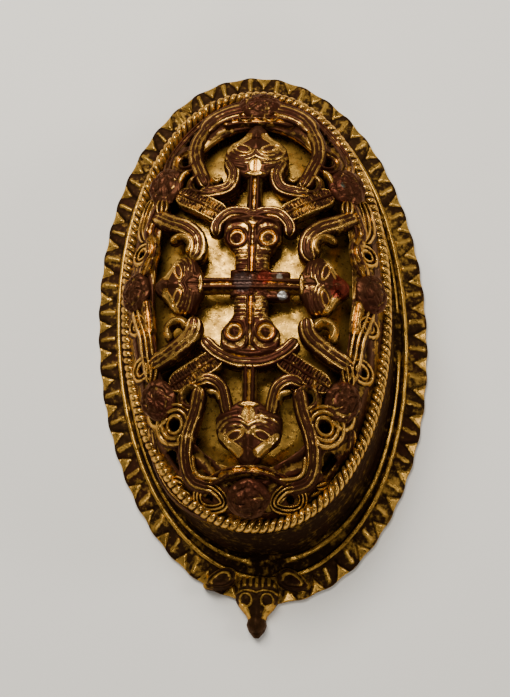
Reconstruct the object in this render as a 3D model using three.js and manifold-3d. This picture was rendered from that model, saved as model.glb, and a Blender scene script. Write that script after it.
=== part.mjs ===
// Double-shelled oval brooch: a gilded lower shell and an openwork upper shell
// Millimetres, +Z up, +Y towards the plain end, lying on its rim with the dome up.
// The origin is the middle of the plan's box, terminal included, on the plane that the rim rests on.
// Places below are measured from the middle of the flange, and the group is shifted at the end.
import * as THREE from 'three';
import { mergeVertices } from 'three/addons/utils/BufferGeometryUtils.js';
import Module from 'manifold-3d';

const wasm = await Module();
wasm.setup();

// Lower shell: flange, wall and plateau
const FLANGE_HALF_WIDTH = 35;
const FLANGE_HALF_LENGTH = 57.9;
const FLANGE_WIDTH = 5.2;
const FLANGE_EDGE = 1.1;
const FLANGE_FOOT = 2.6;
const FLANGE_SKEW = 4;
const FLANGE_POWER = 2.06;
const FLUTE_COUNT = 48;
const FLUTE_RISE = 0.7;
const SCALLOP = 0.45;
const BAND_WIDTH = 2.6;
const BAND_LINE = 0.5;
const WALL = 1.5;
const PLATEAU_TOP = 30.4;
const PLATEAU_CLEAR = 1.4;
const PLATEAU_END_CLEAR = 1.8;
const PLATEAU_RINGS = [1, 0.9, 0.7, 0.35];

// Upper shell: rope border, pierced band and dome
const BORDER_HALF_WIDTH = 26.4;
const BORDER_HALF_LENGTH = 45.3;
const BORDER_SKEW = 2;
const BORDER_POWER = 2.13;
const BORDER_HEIGHT = 19.1;
const ROPE_RADIUS = 0.95;
const ROPE_BEADS = 56;
const DOME_TOP = 36;
const DOME_POWER_ALONG = 1.8;
const DOME_POWER_ACROSS = 3.2;
const UPPER_THICKNESS = 2.2;
const PIERCED_BAND_WIDTH = 6.8;
const PIERCED_BAND_END_WIDTH = 10;
const BAND_DROP = 0.4;
const BAND_RINGS = [0, 0.08, 0.35, 1];
const BAND_UNDER_RINGS = [0, 0.35, 1];
const SEAT_GAP = 0.3;
const SEAT_HEIGHT = BORDER_HEIGHT - ROPE_RADIUS - SEAT_GAP;

// Strapwork on the upper shell
const STRAND_WIDTH = 2.7;
const STRAND_RISE = 1.1;
const STRAND_DEPTH = 0.9;
const CROSSING_LIFT = 0.35;
const EYE_SWING = 3.3;
const LOOP_SWING = 2;
const PIERCING_RADIUS = 1;
const ARM_WIDTH = 4.3;
const BAR_WIDTH = 2.4;
const NOTCH_PITCH = 1.5;

// Places on the upper shell follow the border, as shares of its half-width and half-length
const across = (share) => share * BORDER_HALF_WIDTH;
const along = (share) => share * BORDER_HALF_LENGTH;

// Bosses: centre across and along, lift above the dome, radius and rise
const CORNER_BOSS = { x: across(0.682), y: along(0.486), lift: 0.7, radius: 4, rise: 1.5 };
const END_BOSS = { x: 0, y: along(0.9), lift: -1.8, radius: 4.1, rise: 1.5 };
const SIDE_BOSS = { x: across(0.883), y: 0, lift: 0.8, radius: 4, rise: 1.5 };
const CENTRE_BOSS = { x: 0, y: 0, lift: -0.2, radius: 3.6, rise: 1.1 };
const BOSS_LEAN = 0.7;
const SLOPE_STEP = 0.5;

// Animal heads and masks: nose and nape places along their own axis, half-widths and rise
const END_HEAD = {
  nape: along(0.512), nose: along(0.768), napeHalf: 3.2, cheekHalf: 5.8, noseHalf: 1.5, rise: 2.1 };
const SIDE_HEAD = {
  nape: across(0.364), nose: across(0.716), napeHalf: 2.8, cheekHalf: 5.6, noseHalf: 1.5, rise: 2.1 };
const MASK = {
  snout: along(0.053), brow: along(0.322), snoutHalf: 3.3, eyeHalf: 5.8, browHalf: 6.6, rise: 1.2 };
const MASK_EYE = { x: 3.2, y: along(0.212), radius: 1.7, tube: 0.5 };
const SHAFT_OVERLAP = 1.4;

// Straps that fill one quarter, listed for +X and +Y and mirrored for the others
const QUARTER_STRAPS = [
  { name: 'limb beside the end head', width: 2.3,
    places: [[0.16, 0.54], [0.235, 0.48], [0.35, 0.433], [0.455, 0.41]] },
  { name: 'rail up to the band', width: 2.1,
    places: [[0.49, 0.477], [0.477, 0.574], [0.413, 0.675], [0.386, 0.786]] },
  { name: 'shoulder over the spiral', width: 2.3,
    places: [[0.394, 0.102], [0.41, 0.208], [0.492, 0.27], [0.735, 0.31]] },
  { name: 'brow of the mask', width: 1.9,
    places: [[0.326, 0.274], [0.235, 0.318], [0.114, 0.327], [0, 0.296]] },
];
const SPIRAL = { x: across(0.515), y: along(0.188), radius: 2.1, width: 1.3 };
const LOOP = { x: across(0.417), y: along(0.47), radius: 2, width: 1.5 };
const RING_STEPS = 8;
const ARM = { from: [across(0.212), along(0.313)], to: [across(0.583), along(0.437)], ridge: 0.4 };

// Terminal: an animal head that projects from the flange
const TERMINAL_TIP = 64.6;
const TERMINAL_HALF = 4.6;
const TERMINAL_RISE = 4.4;
const TERMINAL_EDGE = 0.9;
const TERMINAL_SHIFT = 0.5;
const TERMINAL_EYE = { x: 2.15, y: 4.4, radius: 1.15 };
const LOBE = { x: 7.4, y: 0.3, long: 3, broad: 1.7, high: 1.1, drop: 0.2, lean: 20 };

// Fittings for the lost pin, inside the hollow
const LUG = { along: 27, gap: 3.2, thickness: 2, width: 7, foot: 14, bore: 1 };
const CATCH = { along: -30, thickness: 1.6, width: 8, foot: 13, hook: 3.4, lip: 1.6 };

const STEPS_ROUND = FLUTE_COUNT * 2;
const BAND_STEPS = 40;
const STRAP_STEP = 2.8;
const SPAN_STEPS = 7;
const MERGE_WITHIN = 0.18;
const rad = THREE.MathUtils.degToRad;

// A point on a skewed superellipse
function oval(a, b, n, skew, t) {
  const c = Math.cos(t);
  const s = Math.sin(t);
  const x = a * Math.sign(c) * Math.abs(c) ** (2 / n);
  const y = b * Math.sign(s) * Math.abs(s) ** (2 / n);
  const k = rad(skew);
  return [x * Math.cos(k) - y * Math.sin(k), x * Math.sin(k) + y * Math.cos(k)];
}

// Height of a dome that is flatter across than along, and steep at its edge
function dome(a, b, base, top, x, y) {
  const reach = Math.hypot(x / a, y / b) || 1e-6;
  const across = (x / a / reach) ** 2;
  const power = THREE.MathUtils.lerp(DOME_POWER_ALONG, DOME_POWER_ACROSS, across);
  return base + (top - base) * Math.sqrt(Math.max(1 - reach ** power, 0));
}

const topSkin = (x, y) => dome(
  BORDER_HALF_WIDTH, BORDER_HALF_LENGTH, BORDER_HEIGHT, DOME_TOP, x, y);

// One solid from rings of points, closed by a fan at each end or joined end to end
function ringSolid(rings, joined = false) {
  const count = rings[0].length;
  const points = rings.flat();
  const faces = [];
  const bands = joined ? rings.length : rings.length - 1;
  for (let i = 0; i < bands; i++) {
    const next = (i + 1) % rings.length;
    for (let j = 0; j < count; j++) {
      const a = i * count + j;
      const b = i * count + (j + 1) % count;
      const c = next * count + (j + 1) % count;
      const d = next * count + j;
      faces.push([a, b, c], [a, c, d]);
    }
  }
  if (!joined) {
    const first = new THREE.Vector3();
    const last = new THREE.Vector3();
    rings[0].forEach((p) => first.add(p));
    rings.at(-1).forEach((p) => last.add(p));
    const f = points.push(first.divideScalar(count)) - 1;
    const l = points.push(last.divideScalar(count)) - 1;
    const base = (rings.length - 1) * count;
    for (let j = 0; j < count; j++) {
      faces.push([f, (j + 1) % count, j]);
      faces.push([l, base + j, base + (j + 1) % count]);
    }
  }
  return solid(points, faces);
}

// A manifold from points and faces, turned right side out
function solid(points, faces) {
  const fromPoints = new Float32Array(points.flatMap((p) => [p.x, p.y, p.z]));
  let volume = 0;
  const cross = new THREE.Vector3();
  for (const [a, b, c] of faces) {
    volume += cross.crossVectors(points[b], points[c]).dot(points[a]);
  }
  const turned = volume < 0 ? faces.map(([a, b, c]) => [a, c, b]) : faces;
  return new wasm.Manifold(new wasm.Mesh({
    numProp: 3,
    vertProperties: fromPoints,
    triVerts: new Uint32Array(turned.flat()),
  }));
}

// A manifold from a three.js geometry placed by a matrix
function fromGeometry(geometry, matrix = new THREE.Matrix4()) {
  const g = geometry.clone().applyMatrix4(matrix);
  g.deleteAttribute('normal');
  g.deleteAttribute('uv');
  const merged = mergeVertices(g, 1e-5);
  return new wasm.Manifold(new wasm.Mesh({
    numProp: 3,
    vertProperties: new Float32Array(merged.attributes.position.array),
    triVerts: new Uint32Array(merged.index.array),
  }));
}

const place = (x, y, z, sx = 1, sy = 1, sz = 1, rx = 0, ry = 0, rz = 0) =>
  new THREE.Matrix4().compose(
    new THREE.Vector3(x, y, z),
    new THREE.Quaternion().setFromEuler(new THREE.Euler(rx, ry, rz)),
    new THREE.Vector3(sx, sy, sz));

const addAll = (parts) => parts.reduce((sum, part) => sum.add(part));

// A strap swept along points on the plan, its section standing upright
// The section lists across and up; lift gives the height of the path at each step.
function strap(path, section, lift, closed = false) {
  const rings = path.map((p, i) => {
    const before = closed ? path.at(i - 1) : path[Math.max(i - 1, 0)];
    const after = closed ? path[(i + 1) % path.length] : path[Math.min(i + 1, path.length - 1)];
    const run = Math.hypot(after[0] - before[0], after[1] - before[1]) || 1;
    const nx = (after[1] - before[1]) / run;
    const ny = -(after[0] - before[0]) / run;
    return section(i).map(([across, up]) => {
      const x = p[0] + nx * across;
      const y = p[1] + ny * across;
      return new THREE.Vector3(x, y, lift(x, y, i) + up);
    });
  });
  return ringSolid(rings, closed);
}

// Points along a smooth plan curve through a few chosen ones
function smooth(points, step) {
  const curve = new THREE.CatmullRomCurve3(points.map(([x, y]) => new THREE.Vector3(x, y, 0)));
  const count = Math.max(2, Math.round(curve.getLength() / step));
  return curve.getSpacedPoints(count).map((p) => [p.x, p.y]);
}

// Section of a strap that narrows upwards, or one with two ridges and a groove between them
const crowned = (width, rise, depth) => [
  [-width / 2, -depth], [width / 2, -depth], [width * 0.26, rise], [-width * 0.26, rise]];
const doubleRidged = (width, rise, depth) => [
  [-width / 2, -depth], [width / 2, -depth], [width / 2, rise * 0.3], [width / 4, rise],
  [0, rise * 0.4], [-width / 4, rise], [-width / 2, rise * 0.3]];

// Relief on a tapering field, from one end to the other along an axis
// half gives the half-width and height the rise above the skin, both over 0 to 1.
function relief(start, end, turn, half, height, skin, rows, columns) {
  const c = Math.cos(turn);
  const s = Math.sin(turn);
  const rings = [];
  for (let i = 0; i <= rows; i++) {
    const v = i / rows;
    const along = start + (end - start) * v;
    const ring = [];
    for (let j = 0; j <= columns; j++) {
      const u = -1 + 2 * j / columns;
      const x = c * u * half(v) - s * along;
      const y = s * u * half(v) + c * along;
      ring.push(new THREE.Vector3(x, y, skin(x, y) + height(u, v)));
    }
    for (const u of [1, -1]) {
      const x = c * u * half(v) - s * along;
      const y = s * u * half(v) + c * along;
      ring.push(new THREE.Vector3(x, y, skin(x, y) - UPPER_THICKNESS));
    }
    rings.push(ring);
  }
  return ringSolid(rings);
}

// Outer rings of the lower shell, from the rim's edge up to the plateau
function lowerOuterRings() {
  const foot = FLANGE_WIDTH;
  const lineAt = BAND_WIDTH / 4;
  const rows = [
    { inset: 0, z: 0, edge: true },
    { inset: 0, z: FLANGE_EDGE, edge: true, flute: 1 },
    { inset: foot * 0.55, z: FLANGE_FOOT * 0.75, flute: 0.8 },
    { inset: foot, z: FLANGE_FOOT, flute: 0 },
    { inset: foot + lineAt, z: FLANGE_FOOT + BAND_LINE },
    { inset: foot + lineAt * 2, z: FLANGE_FOOT + BAND_LINE * 0.4 },
    { inset: foot + lineAt * 3, z: FLANGE_FOOT + BAND_LINE * 2 },
    { inset: foot + BAND_WIDTH, z: FLANGE_FOOT + BAND_LINE * 1.6 },
  ];
  const rings = rows.map((row) => ringOf((t, j) => {
    const crest = j % 2 === 0;
    const inset = row.inset + (row.edge && !crest ? -SCALLOP : 0);
    const flute = (row.flute ?? 0) * (crest ? FLUTE_RISE : -FLUTE_RISE * 0.35);
    const [x, y] = oval(FLANGE_HALF_WIDTH - SCALLOP - inset, FLANGE_HALF_LENGTH - SCALLOP - inset,
      FLANGE_POWER, FLANGE_SKEW, t);
    return new THREE.Vector3(x, y, row.z + flute);
  }));
  const wallTop = ringOf((t) => {
    const [x, y] = oval(BORDER_HALF_WIDTH + ROPE_RADIUS * 0.6, BORDER_HALF_LENGTH + ROPE_RADIUS * 0.6,
      BORDER_POWER, BORDER_SKEW, t);
    return new THREE.Vector3(x, y, SEAT_HEIGHT);
  });
  rings.push(wallTop, ...plateauRings(0));
  return rings;
}

// Rings over the plateau, which keeps clear of the upper shell's inner side
// The depth takes them into the wall: nil at its outer face and WALL at its inner face.
function plateauRings(depth) {
  const a = BORDER_HALF_WIDTH - UPPER_THICKNESS - PLATEAU_CLEAR - depth;
  const b = BORDER_HALF_LENGTH - UPPER_THICKNESS - PLATEAU_END_CLEAR - depth;
  const seat = SEAT_HEIGHT - depth;
  return PLATEAU_RINGS.map((share) => ringOf((t) => {
    const [x, y] = oval(a * share, b * share, BORDER_POWER, BORDER_SKEW * share, t);
    return new THREE.Vector3(x, y, share === 1 ? seat : dome(a, b, seat, PLATEAU_TOP - depth, x, y));
  }));
}

function ringOf(make, count = STEPS_ROUND) {
  return Array.from({ length: count }, (_, j) => make(j * 2 * Math.PI / count, j));
}

// Inner rings of the lower shell, from the plateau's underside down to the rim
function lowerInnerRings() {
  const foot = ringOf((t) => {
    const inset = FLANGE_WIDTH + BAND_WIDTH + WALL;
    const [x, y] = oval(FLANGE_HALF_WIDTH - inset, FLANGE_HALF_LENGTH - inset, FLANGE_POWER, FLANGE_SKEW, t);
    return new THREE.Vector3(x, y, FLANGE_FOOT);
  });
  const rim = ringOf((t) => {
    const inset = FLANGE_WIDTH;
    const [x, y] = oval(FLANGE_HALF_WIDTH - inset, FLANGE_HALF_LENGTH - inset, FLANGE_POWER, FLANGE_SKEW, t);
    return new THREE.Vector3(x, y, 0);
  });
  const shoulder = ringOf((t) => {
    const [x, y] = oval(BORDER_HALF_WIDTH - WALL, BORDER_HALF_LENGTH - WALL, BORDER_POWER, BORDER_SKEW, t);
    return new THREE.Vector3(x, y, SEAT_HEIGHT - 2 * WALL);
  });
  return [...plateauRings(WALL).reverse(), shoulder, foot, rim];
}

// The terminal: cheeks, eyes and a narrow snout beyond the flange
function terminalHead() {
  const start = -(FLANGE_HALF_LENGTH - FLANGE_WIDTH);
  const half = (v) => v < 0.45
    ? TERMINAL_HALF * (1 - 0.25 * v)
    : TERMINAL_HALF * (0.88 - 1.18 * (v - 0.45));
  const height = (u, v) => {
    const crown = TERMINAL_RISE * (1 - 0.45 * v) * Math.sqrt(Math.max(1 - 0.85 * u * u, 0));
    const nose = v > 0.7 ? 0.5 * (1 - u * u) : 0;
    return crown + nose;
  };
  const body = reliefOnGround(start, -TERMINAL_TIP, half, height, 10, 8);
  const eyes = [-1, 1].map((side) => fromGeometry(
    new THREE.SphereGeometry(TERMINAL_EYE.radius, 8, 6),
    place(side * TERMINAL_EYE.x + TERMINAL_SHIFT, start - TERMINAL_EYE.y, TERMINAL_RISE * 0.72)));
  const lobes = [-1, 1].map((side) => fromGeometry(
    new THREE.SphereGeometry(1, 10, 6),
    place(side * LOBE.x + TERMINAL_SHIFT, start - LOBE.y, FLANGE_FOOT - LOBE.drop,
      LOBE.long, LOBE.broad, LOBE.high, 0, 0, -side * rad(LOBE.lean))));
  return addAll([body, ...eyes, ...lobes]);
}

// Relief whose underside is flat on the ground
function reliefOnGround(start, end, half, height, rows, columns) {
  const rings = [];
  for (let i = 0; i <= rows; i++) {
    const v = i / rows;
    const y = start + (end - start) * v;
    const ring = [];
    for (let j = 0; j <= columns; j++) {
      const u = -1 + 2 * j / columns;
      ring.push(new THREE.Vector3(
        u * half(v) + TERMINAL_SHIFT, y, Math.max(height(u, v), TERMINAL_EDGE)));
    }
    for (const u of [1, -1]) {
      ring.push(new THREE.Vector3(u * half(v) + TERMINAL_SHIFT, y, 0));
    }
    rings.push(ring);
  }
  return ringSolid(rings);
}

// Two pierced lugs for the pin's hinge, and a hooked catch plate for its point
// Each is drawn up to the plateau's top and trimmed in the middle of its wall.
function pinFittings() {
  const lugs = [-1, 1].map((side) => {
    const middle = side * (LUG.gap + LUG.thickness) / 2;
    const drop = PLATEAU_TOP - LUG.foot;
    const plate = fromGeometry(
      new THREE.BoxGeometry(LUG.thickness, LUG.width, drop),
      place(middle, LUG.along, PLATEAU_TOP - drop / 2));
    const bore = fromGeometry(
      new THREE.CylinderGeometry(LUG.bore, LUG.bore, LUG.thickness * 2, 12),
      place(middle, LUG.along, LUG.foot + LUG.width / 3, 1, 1, 1, 0, 0, Math.PI / 2));
    return plate.subtract(bore);
  });
  const drop = PLATEAU_TOP - CATCH.foot;
  const lip = CATCH.thickness * CATCH.lip;
  const hook = new THREE.Shape([
    new THREE.Vector2(0, 0), new THREE.Vector2(CATCH.hook, 0),
    new THREE.Vector2(CATCH.hook, lip),
    new THREE.Vector2(CATCH.hook - CATCH.thickness, lip),
    new THREE.Vector2(CATCH.hook - CATCH.thickness, CATCH.thickness),
    new THREE.Vector2(CATCH.thickness, CATCH.thickness),
    new THREE.Vector2(CATCH.thickness, drop), new THREE.Vector2(0, drop)]);
  const catchPlate = fromGeometry(
    new THREE.ExtrudeGeometry(hook, { depth: CATCH.width, bevelEnabled: false }),
    place(-CATCH.thickness / 2, CATCH.along + CATCH.width / 2, CATCH.foot, 1, 1, 1, Math.PI / 2, 0, 0));
  return [...lugs, catchPlate].map((fitting) => fitting.intersect(underPlateau()));
}

// What lies under the middle of the plateau's wall
function underPlateau() {
  const rings = plateauRings(WALL / 2);
  const floor = rings[0].map((p) => new THREE.Vector3(p.x, p.y, 0));
  return ringSolid([floor, ...rings]);
}

function lowerShell() {
  const body = ringSolid([...lowerOuterRings().reverse(), ...lowerInnerRings().reverse()]);
  return addAll([body, terminalHead(), ...pinFittings()]).asOriginal().simplify(MERGE_WITHIN);
}

// The rope border: a ring that swells and narrows once for each bead, slanting as it goes
function ropeBorder() {
  const steps = ROPE_BEADS * 2;
  const rings = Array.from({ length: steps }, (_, i) => {
    const t = i * 2 * Math.PI / steps;
    const swell = i % 2 ? 0.72 : 1;
    return Array.from({ length: 5 }, (_, j) => {
      const phi = j * 2 * Math.PI / 5;
      const lean = 0.5 * Math.sin(phi) * 2 * Math.PI / ROPE_BEADS;
      const out = ROPE_RADIUS * swell * Math.cos(phi);
      const [x, y] = oval(BORDER_HALF_WIDTH + out, BORDER_HALF_LENGTH + out,
        BORDER_POWER, BORDER_SKEW, t + lean);
      return new THREE.Vector3(x, y, BORDER_HEIGHT + ROPE_RADIUS * swell * Math.sin(phi));
    });
  });
  return ringSolid(rings, true);
}

// The pierced band that carries the bosses, from the rope border inwards
function piercedBand() {
  const at = (inset, endInset, drop, share, t) => {
    const a = BORDER_HALF_WIDTH - inset;
    const b = BORDER_HALF_LENGTH - endInset;
    const [x, y] = oval(a, b, BORDER_POWER, BORDER_SKEW * (1 - share), t);
    const outer = BORDER_HALF_WIDTH - drop;
    const outerLength = BORDER_HALF_LENGTH - drop;
    const z = dome(outer, outerLength, BORDER_HEIGHT - BAND_DROP, DOME_TOP - drop, x, y);
    return new THREE.Vector3(x, y, z);
  };
  const loops = (shares, drop) => shares.map((share) => ringOf((t) => at(
    drop + share * (PIERCED_BAND_WIDTH - drop),
    drop + share * (PIERCED_BAND_END_WIDTH - drop), drop, share, t), BAND_STEPS));
  return ringSolid([
    ...loops(BAND_RINGS, 0), ...loops(BAND_UNDER_RINGS, UPPER_THICKNESS).reverse()], true);
}

// Width of the band, wider at the ends than at the sides
const bandWidth = (turn) => THREE.MathUtils.lerp(
  PIERCED_BAND_WIDTH, PIERCED_BAND_END_WIDTH, Math.abs(Math.sin(turn)));

// A point on the middle line of the band, or beside it by a swing outwards
function onBand(turn, swing = 0) {
  const inset = bandWidth(turn) / 2 - swing;
  return oval(BORDER_HALF_WIDTH - inset, BORDER_HALF_LENGTH - inset,
    BORDER_POWER, BORDER_SKEW / 2, turn);
}

// Where the bosses stand round the band, as shares of the turn, with the first one again at the end
function bossTurns() {
  const inset = (PIERCED_BAND_WIDTH + PIERCED_BAND_END_WIDTH) / 4;
  const rise = (CORNER_BOSS.y / (BORDER_HALF_LENGTH - inset)) ** (BORDER_POWER / 2);
  const run = (CORNER_BOSS.x / (BORDER_HALF_WIDTH - inset)) ** (BORDER_POWER / 2);
  const corner = Math.atan2(rise, run) / (2 * Math.PI);
  return [0, corner, 0.25, 0.5 - corner, 0.5, 0.5 + corner, 0.75, 1 - corner, 1];
}

// One of the two strands that cross between bosses and part round them
function bandStrand(side) {
  const turns = bossTurns();
  const path = [];
  const crossings = [];
  for (let k = 0; k + 1 < turns.length; k++) {
    for (let i = 0; i < SPAN_STEPS; i++) {
      const share = i / SPAN_STEPS;
      const turn = 2 * Math.PI * THREE.MathUtils.lerp(turns[k], turns[k + 1], share);
      const wave = Math.cos(2 * Math.PI * share);
      const free = bandWidth(turn) / 2 - STRAND_WIDTH / 2;
      const swing = Math.min(side * wave * (wave > 0 ? EYE_SWING : LOOP_SWING), free);
      path.push(onBand(turn, swing));
      crossings.push(side * Math.sin(2 * Math.PI * share) * CROSSING_LIFT);
    }
  }
  const section = crowned(STRAND_WIDTH, STRAND_RISE, STRAND_DEPTH);
  return strap(path, () => section, (x, y, i) => topSkin(x, y) + crossings[i], true);
}

// Small round piercings in the loops between bosses
function piercings() {
  const turns = bossTurns();
  return turns.slice(1).map((to, k) => {
    const [x, y] = onBand(Math.PI * (turns[k] + to));
    return fromGeometry(new THREE.CylinderGeometry(PIERCING_RADIUS, PIERCING_RADIUS, DOME_TOP, 8),
      place(x, y, topSkin(x, y), 1, 1, 1, Math.PI / 2, 0, 0));
  });
}

// A low boss that leans with the dome, less than the dome does
function boss({ x, y, lift, radius, rise }, sx = 1, sy = 1) {
  const slope = (dx, dy) => (topSkin(sx * x + dx, sy * y + dy) - topSkin(sx * x - dx, sy * y - dy))
    / (2 * SLOPE_STEP);
  const tiltX = BOSS_LEAN * Math.atan(slope(0, SLOPE_STEP));
  const tiltY = -BOSS_LEAN * Math.atan(slope(SLOPE_STEP, 0));
  return fromGeometry(new THREE.SphereGeometry(1, 9, 6).rotateX(Math.PI / 2),
    place(sx * x, sy * y, topSkin(x, y) + lift, radius, radius, rise, tiltX, tiltY, 0));
}

function bosses() {
  const both = [-1, 1];
  return [
    ...both.flatMap((sx) => both.map((sy) => boss(CORNER_BOSS, sx, sy))),
    ...both.map((sy) => boss(END_BOSS, 1, sy)),
    ...both.map((sx) => boss(SIDE_BOSS, sx, 1)),
    boss(CENTRE_BOSS),
  ];
}

// An animal head seen from above, nape at 0 and nose at 1
function animalHead(head, turn) {
  const half = (v) => v < 0.45
    ? THREE.MathUtils.lerp(head.napeHalf, head.cheekHalf, Math.sin(v / 0.45 * Math.PI / 2))
    : THREE.MathUtils.lerp(head.cheekHalf, head.noseHalf, Math.min((v - 0.45) / 0.42, 1));
  const height = (u, v) => {
    const bulge = head.rise * (0.55 + 0.45 * Math.sin(v * Math.PI)) * Math.sqrt(1 - 0.8 * u * u);
    const ball = v > 0.86 ? 0.35 * head.rise : 0;
    const groove = v > 0.5 && v < 0.86 && Math.abs(u) > 0.3 && Math.abs(u) < 0.7 ? -0.8 : 0;
    const crown = v < 0.22 ? -0.5 : 0;
    return bulge + ball + groove + crown;
  };
  return relief(head.nape, head.nose, turn, half, height, topSkin, 8, 6);
}

// A mask with its snout at the centre bar and its brow outwards
function mask(turn) {
  const half = (v) => v < 0.35
    ? MASK.snoutHalf
    : THREE.MathUtils.lerp(MASK.snoutHalf, v > 0.85 ? MASK.browHalf : MASK.eyeHalf,
      Math.min((v - 0.35) / 0.25, 1));
  const height = (u, v) => {
    const field = MASK.rise * (1 - 0.5 * u * u);
    const nose = Math.abs(u) < 0.3 ? 0.45 : 0;
    const brow = v > 0.85 ? 0.7 : 0;
    return field + nose + brow;
  };
  const body = relief(MASK.snout, MASK.brow, turn, half, height, topSkin, 9, 8);
  const eyes = [-1, 1].map((side) => {
    const x = side * MASK_EYE.x;
    const y = MASK_EYE.y * Math.cos(turn);
    return fromGeometry(new THREE.TorusGeometry(MASK_EYE.radius, MASK_EYE.tube, 4, 8),
      place(x, y, topSkin(x, y) + MASK.rise, 1, 1, 1));
  });
  return addAll([body, ...eyes]);
}

// The straps and rings of one quarter
function quarterStraps(sx, sy) {
  const mirror = ([x, y]) => [sx * x, sy * y];
  const lift = (x, y) => topSkin(x, y);
  const straps = QUARTER_STRAPS.map(({ width, places }) => {
    const section = crowned(width, STRAND_RISE, UPPER_THICKNESS);
    const points = places.map(([x, y]) => [across(x), along(y)]);
    return strap(smooth(points, STRAP_STEP).map(mirror), () => section, lift);
  });
  const rings = [SPIRAL, LOOP].map((ring) => {
    const path = Array.from({ length: RING_STEPS }, (_, i) => {
      const t = i * 2 * Math.PI / RING_STEPS;
      return mirror([ring.x + ring.radius * Math.cos(t), ring.y + ring.radius * Math.sin(t)]);
    });
    const section = crowned(ring.width, STRAND_RISE, UPPER_THICKNESS);
    return strap(path, () => section, lift, true);
  });
  return [...straps, ...rings, notchedArm(mirror, lift)];
}

// A diagonal arm from the mask to the corner boss, notched along both sides
function notchedArm(mirror, lift) {
  const { from, to } = ARM;
  const length = Math.hypot(to[0] - from[0], to[1] - from[1]);
  const steps = Math.round(length / NOTCH_PITCH) * 2;
  const path = Array.from({ length: steps + 1 }, (_, i) => mirror([
    from[0] + (to[0] - from[0]) * i / steps, from[1] + (to[1] - from[1]) * i / steps]));
  const half = ARM_WIDTH / 2;
  const section = (i) => {
    const rib = i % 2 ? STRAND_RISE : STRAND_RISE * 0.5;
    return [[-half, -UPPER_THICKNESS], [half, -UPPER_THICKNESS], [half, rib * 0.5],
      [half * 0.4, rib], [0, STRAND_RISE + ARM.ridge], [-half * 0.4, rib], [-half, rib * 0.5]];
  };
  return strap(path, section, lift);
}

// The bar between the side heads and the shafts out to the end heads
function cross() {
  const section = doubleRidged(BAR_WIDTH, STRAND_RISE, UPPER_THICKNESS);
  const reach = SIDE_HEAD.nape + SHAFT_OVERLAP;
  const bar = smooth([[-reach, 0], [reach, 0]], STRAP_STEP);
  const shaft = (sy) => smooth([
    [0, sy * (MASK.brow - SHAFT_OVERLAP)], [0, sy * (END_HEAD.nape + SHAFT_OVERLAP)]], STRAP_STEP);
  return [bar, shaft(1), shaft(-1)].map((path) => strap(path, () => section, (x, y) => topSkin(x, y)));
}

// The same body with the small bubbles filled that straps enclose where they cross
const withoutBubbles = (body) => addAll(body.decompose().filter((skin) => skin.volume() > 0));

function upperShell() {
  const carved = addAll([piercedBand(), bandStrand(1), bandStrand(-1)]).subtract(addAll(piercings()));
  const quarters = [-1, 1].flatMap((sx) => [-1, 1].flatMap((sy) => quarterStraps(sx, sy)));
  return withoutBubbles(addAll([
    carved, ropeBorder(), ...bosses(), ...quarters, ...cross(),
    mask(0), mask(Math.PI),
    animalHead(END_HEAD, 0), animalHead(END_HEAD, Math.PI),
    animalHead(SIDE_HEAD, Math.PI / 2), animalHead(SIDE_HEAD, -Math.PI / 2),
  ]).asOriginal().simplify(MERGE_WITHIN));
}

function meshOf(name, body, color, roughness, metalness) {
  const { vertProperties, triVerts } = body.getMesh();
  const geometry = new THREE.BufferGeometry();
  geometry.setAttribute('position', new THREE.BufferAttribute(vertProperties, 3));
  geometry.setIndex(new THREE.BufferAttribute(triVerts, 1));
  geometry.computeVertexNormals();
  const mesh = new THREE.Mesh(geometry, new THREE.MeshStandardMaterial({ color, roughness, metalness }));
  mesh.name = name;
  return mesh;
}

const lower = lowerShell();
const plan = lower.boundingBox();
const brooch = new THREE.Group();
brooch.add(meshOf('lower_shell', lower, 0xb98a3c, 0.35, 1));
brooch.add(meshOf('upper_shell', upperShell(), 0x7a4a2c, 0.45, 0.9));
brooch.position.set(-(plan.min[0] + plan.max[0]) / 2, -(plan.min[1] + plan.max[1]) / 2, 0);

export default brooch;
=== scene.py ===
"""Looks of the double-shelled oval brooch: gilded lower shell, worn openwork upper shell.

Sizes are in millimetres on the brooch's own plan, with its middle at the flange's middle,
and to_frame() turns them into metres in the frame. Each point carries two values: "wear",
which bares the bronze under the gilding where it is high, and "depth", which holds dirt
and painted shade in grooves, hollows and gaps.
"""
import math

import bmesh
import bpy
import numpy as np
from mathutils import Matrix, Vector


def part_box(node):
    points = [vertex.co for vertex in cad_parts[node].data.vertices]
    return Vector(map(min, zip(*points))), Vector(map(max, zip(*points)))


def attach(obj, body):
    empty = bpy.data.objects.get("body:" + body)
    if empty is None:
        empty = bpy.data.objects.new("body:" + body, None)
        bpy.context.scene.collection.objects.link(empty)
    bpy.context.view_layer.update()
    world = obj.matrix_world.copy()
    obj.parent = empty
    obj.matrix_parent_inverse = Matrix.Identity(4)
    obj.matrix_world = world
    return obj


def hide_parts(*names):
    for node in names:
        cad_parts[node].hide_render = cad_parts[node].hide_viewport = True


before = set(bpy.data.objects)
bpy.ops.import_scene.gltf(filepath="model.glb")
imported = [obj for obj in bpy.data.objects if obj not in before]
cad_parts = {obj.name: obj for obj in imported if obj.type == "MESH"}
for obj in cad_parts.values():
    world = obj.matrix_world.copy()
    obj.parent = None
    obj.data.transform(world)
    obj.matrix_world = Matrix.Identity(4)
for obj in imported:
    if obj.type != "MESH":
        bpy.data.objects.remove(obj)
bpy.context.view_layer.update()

# Lower shell
FLANGE_HALF_WIDTH = 35
FLANGE_HALF_LENGTH = 57.9
FLANGE_WIDTH = 5.2
FLANGE_POWER = 2.06
FLANGE_SKEW = 4
FLANGE_EDGE = 1.1
FLANGE_FOOT = 2.6
FLUTE_COUNT = 48
CARVED_SHARE = 0.74
SCALLOP = 0.45
EDGE_WAVE = 0.16
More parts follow.
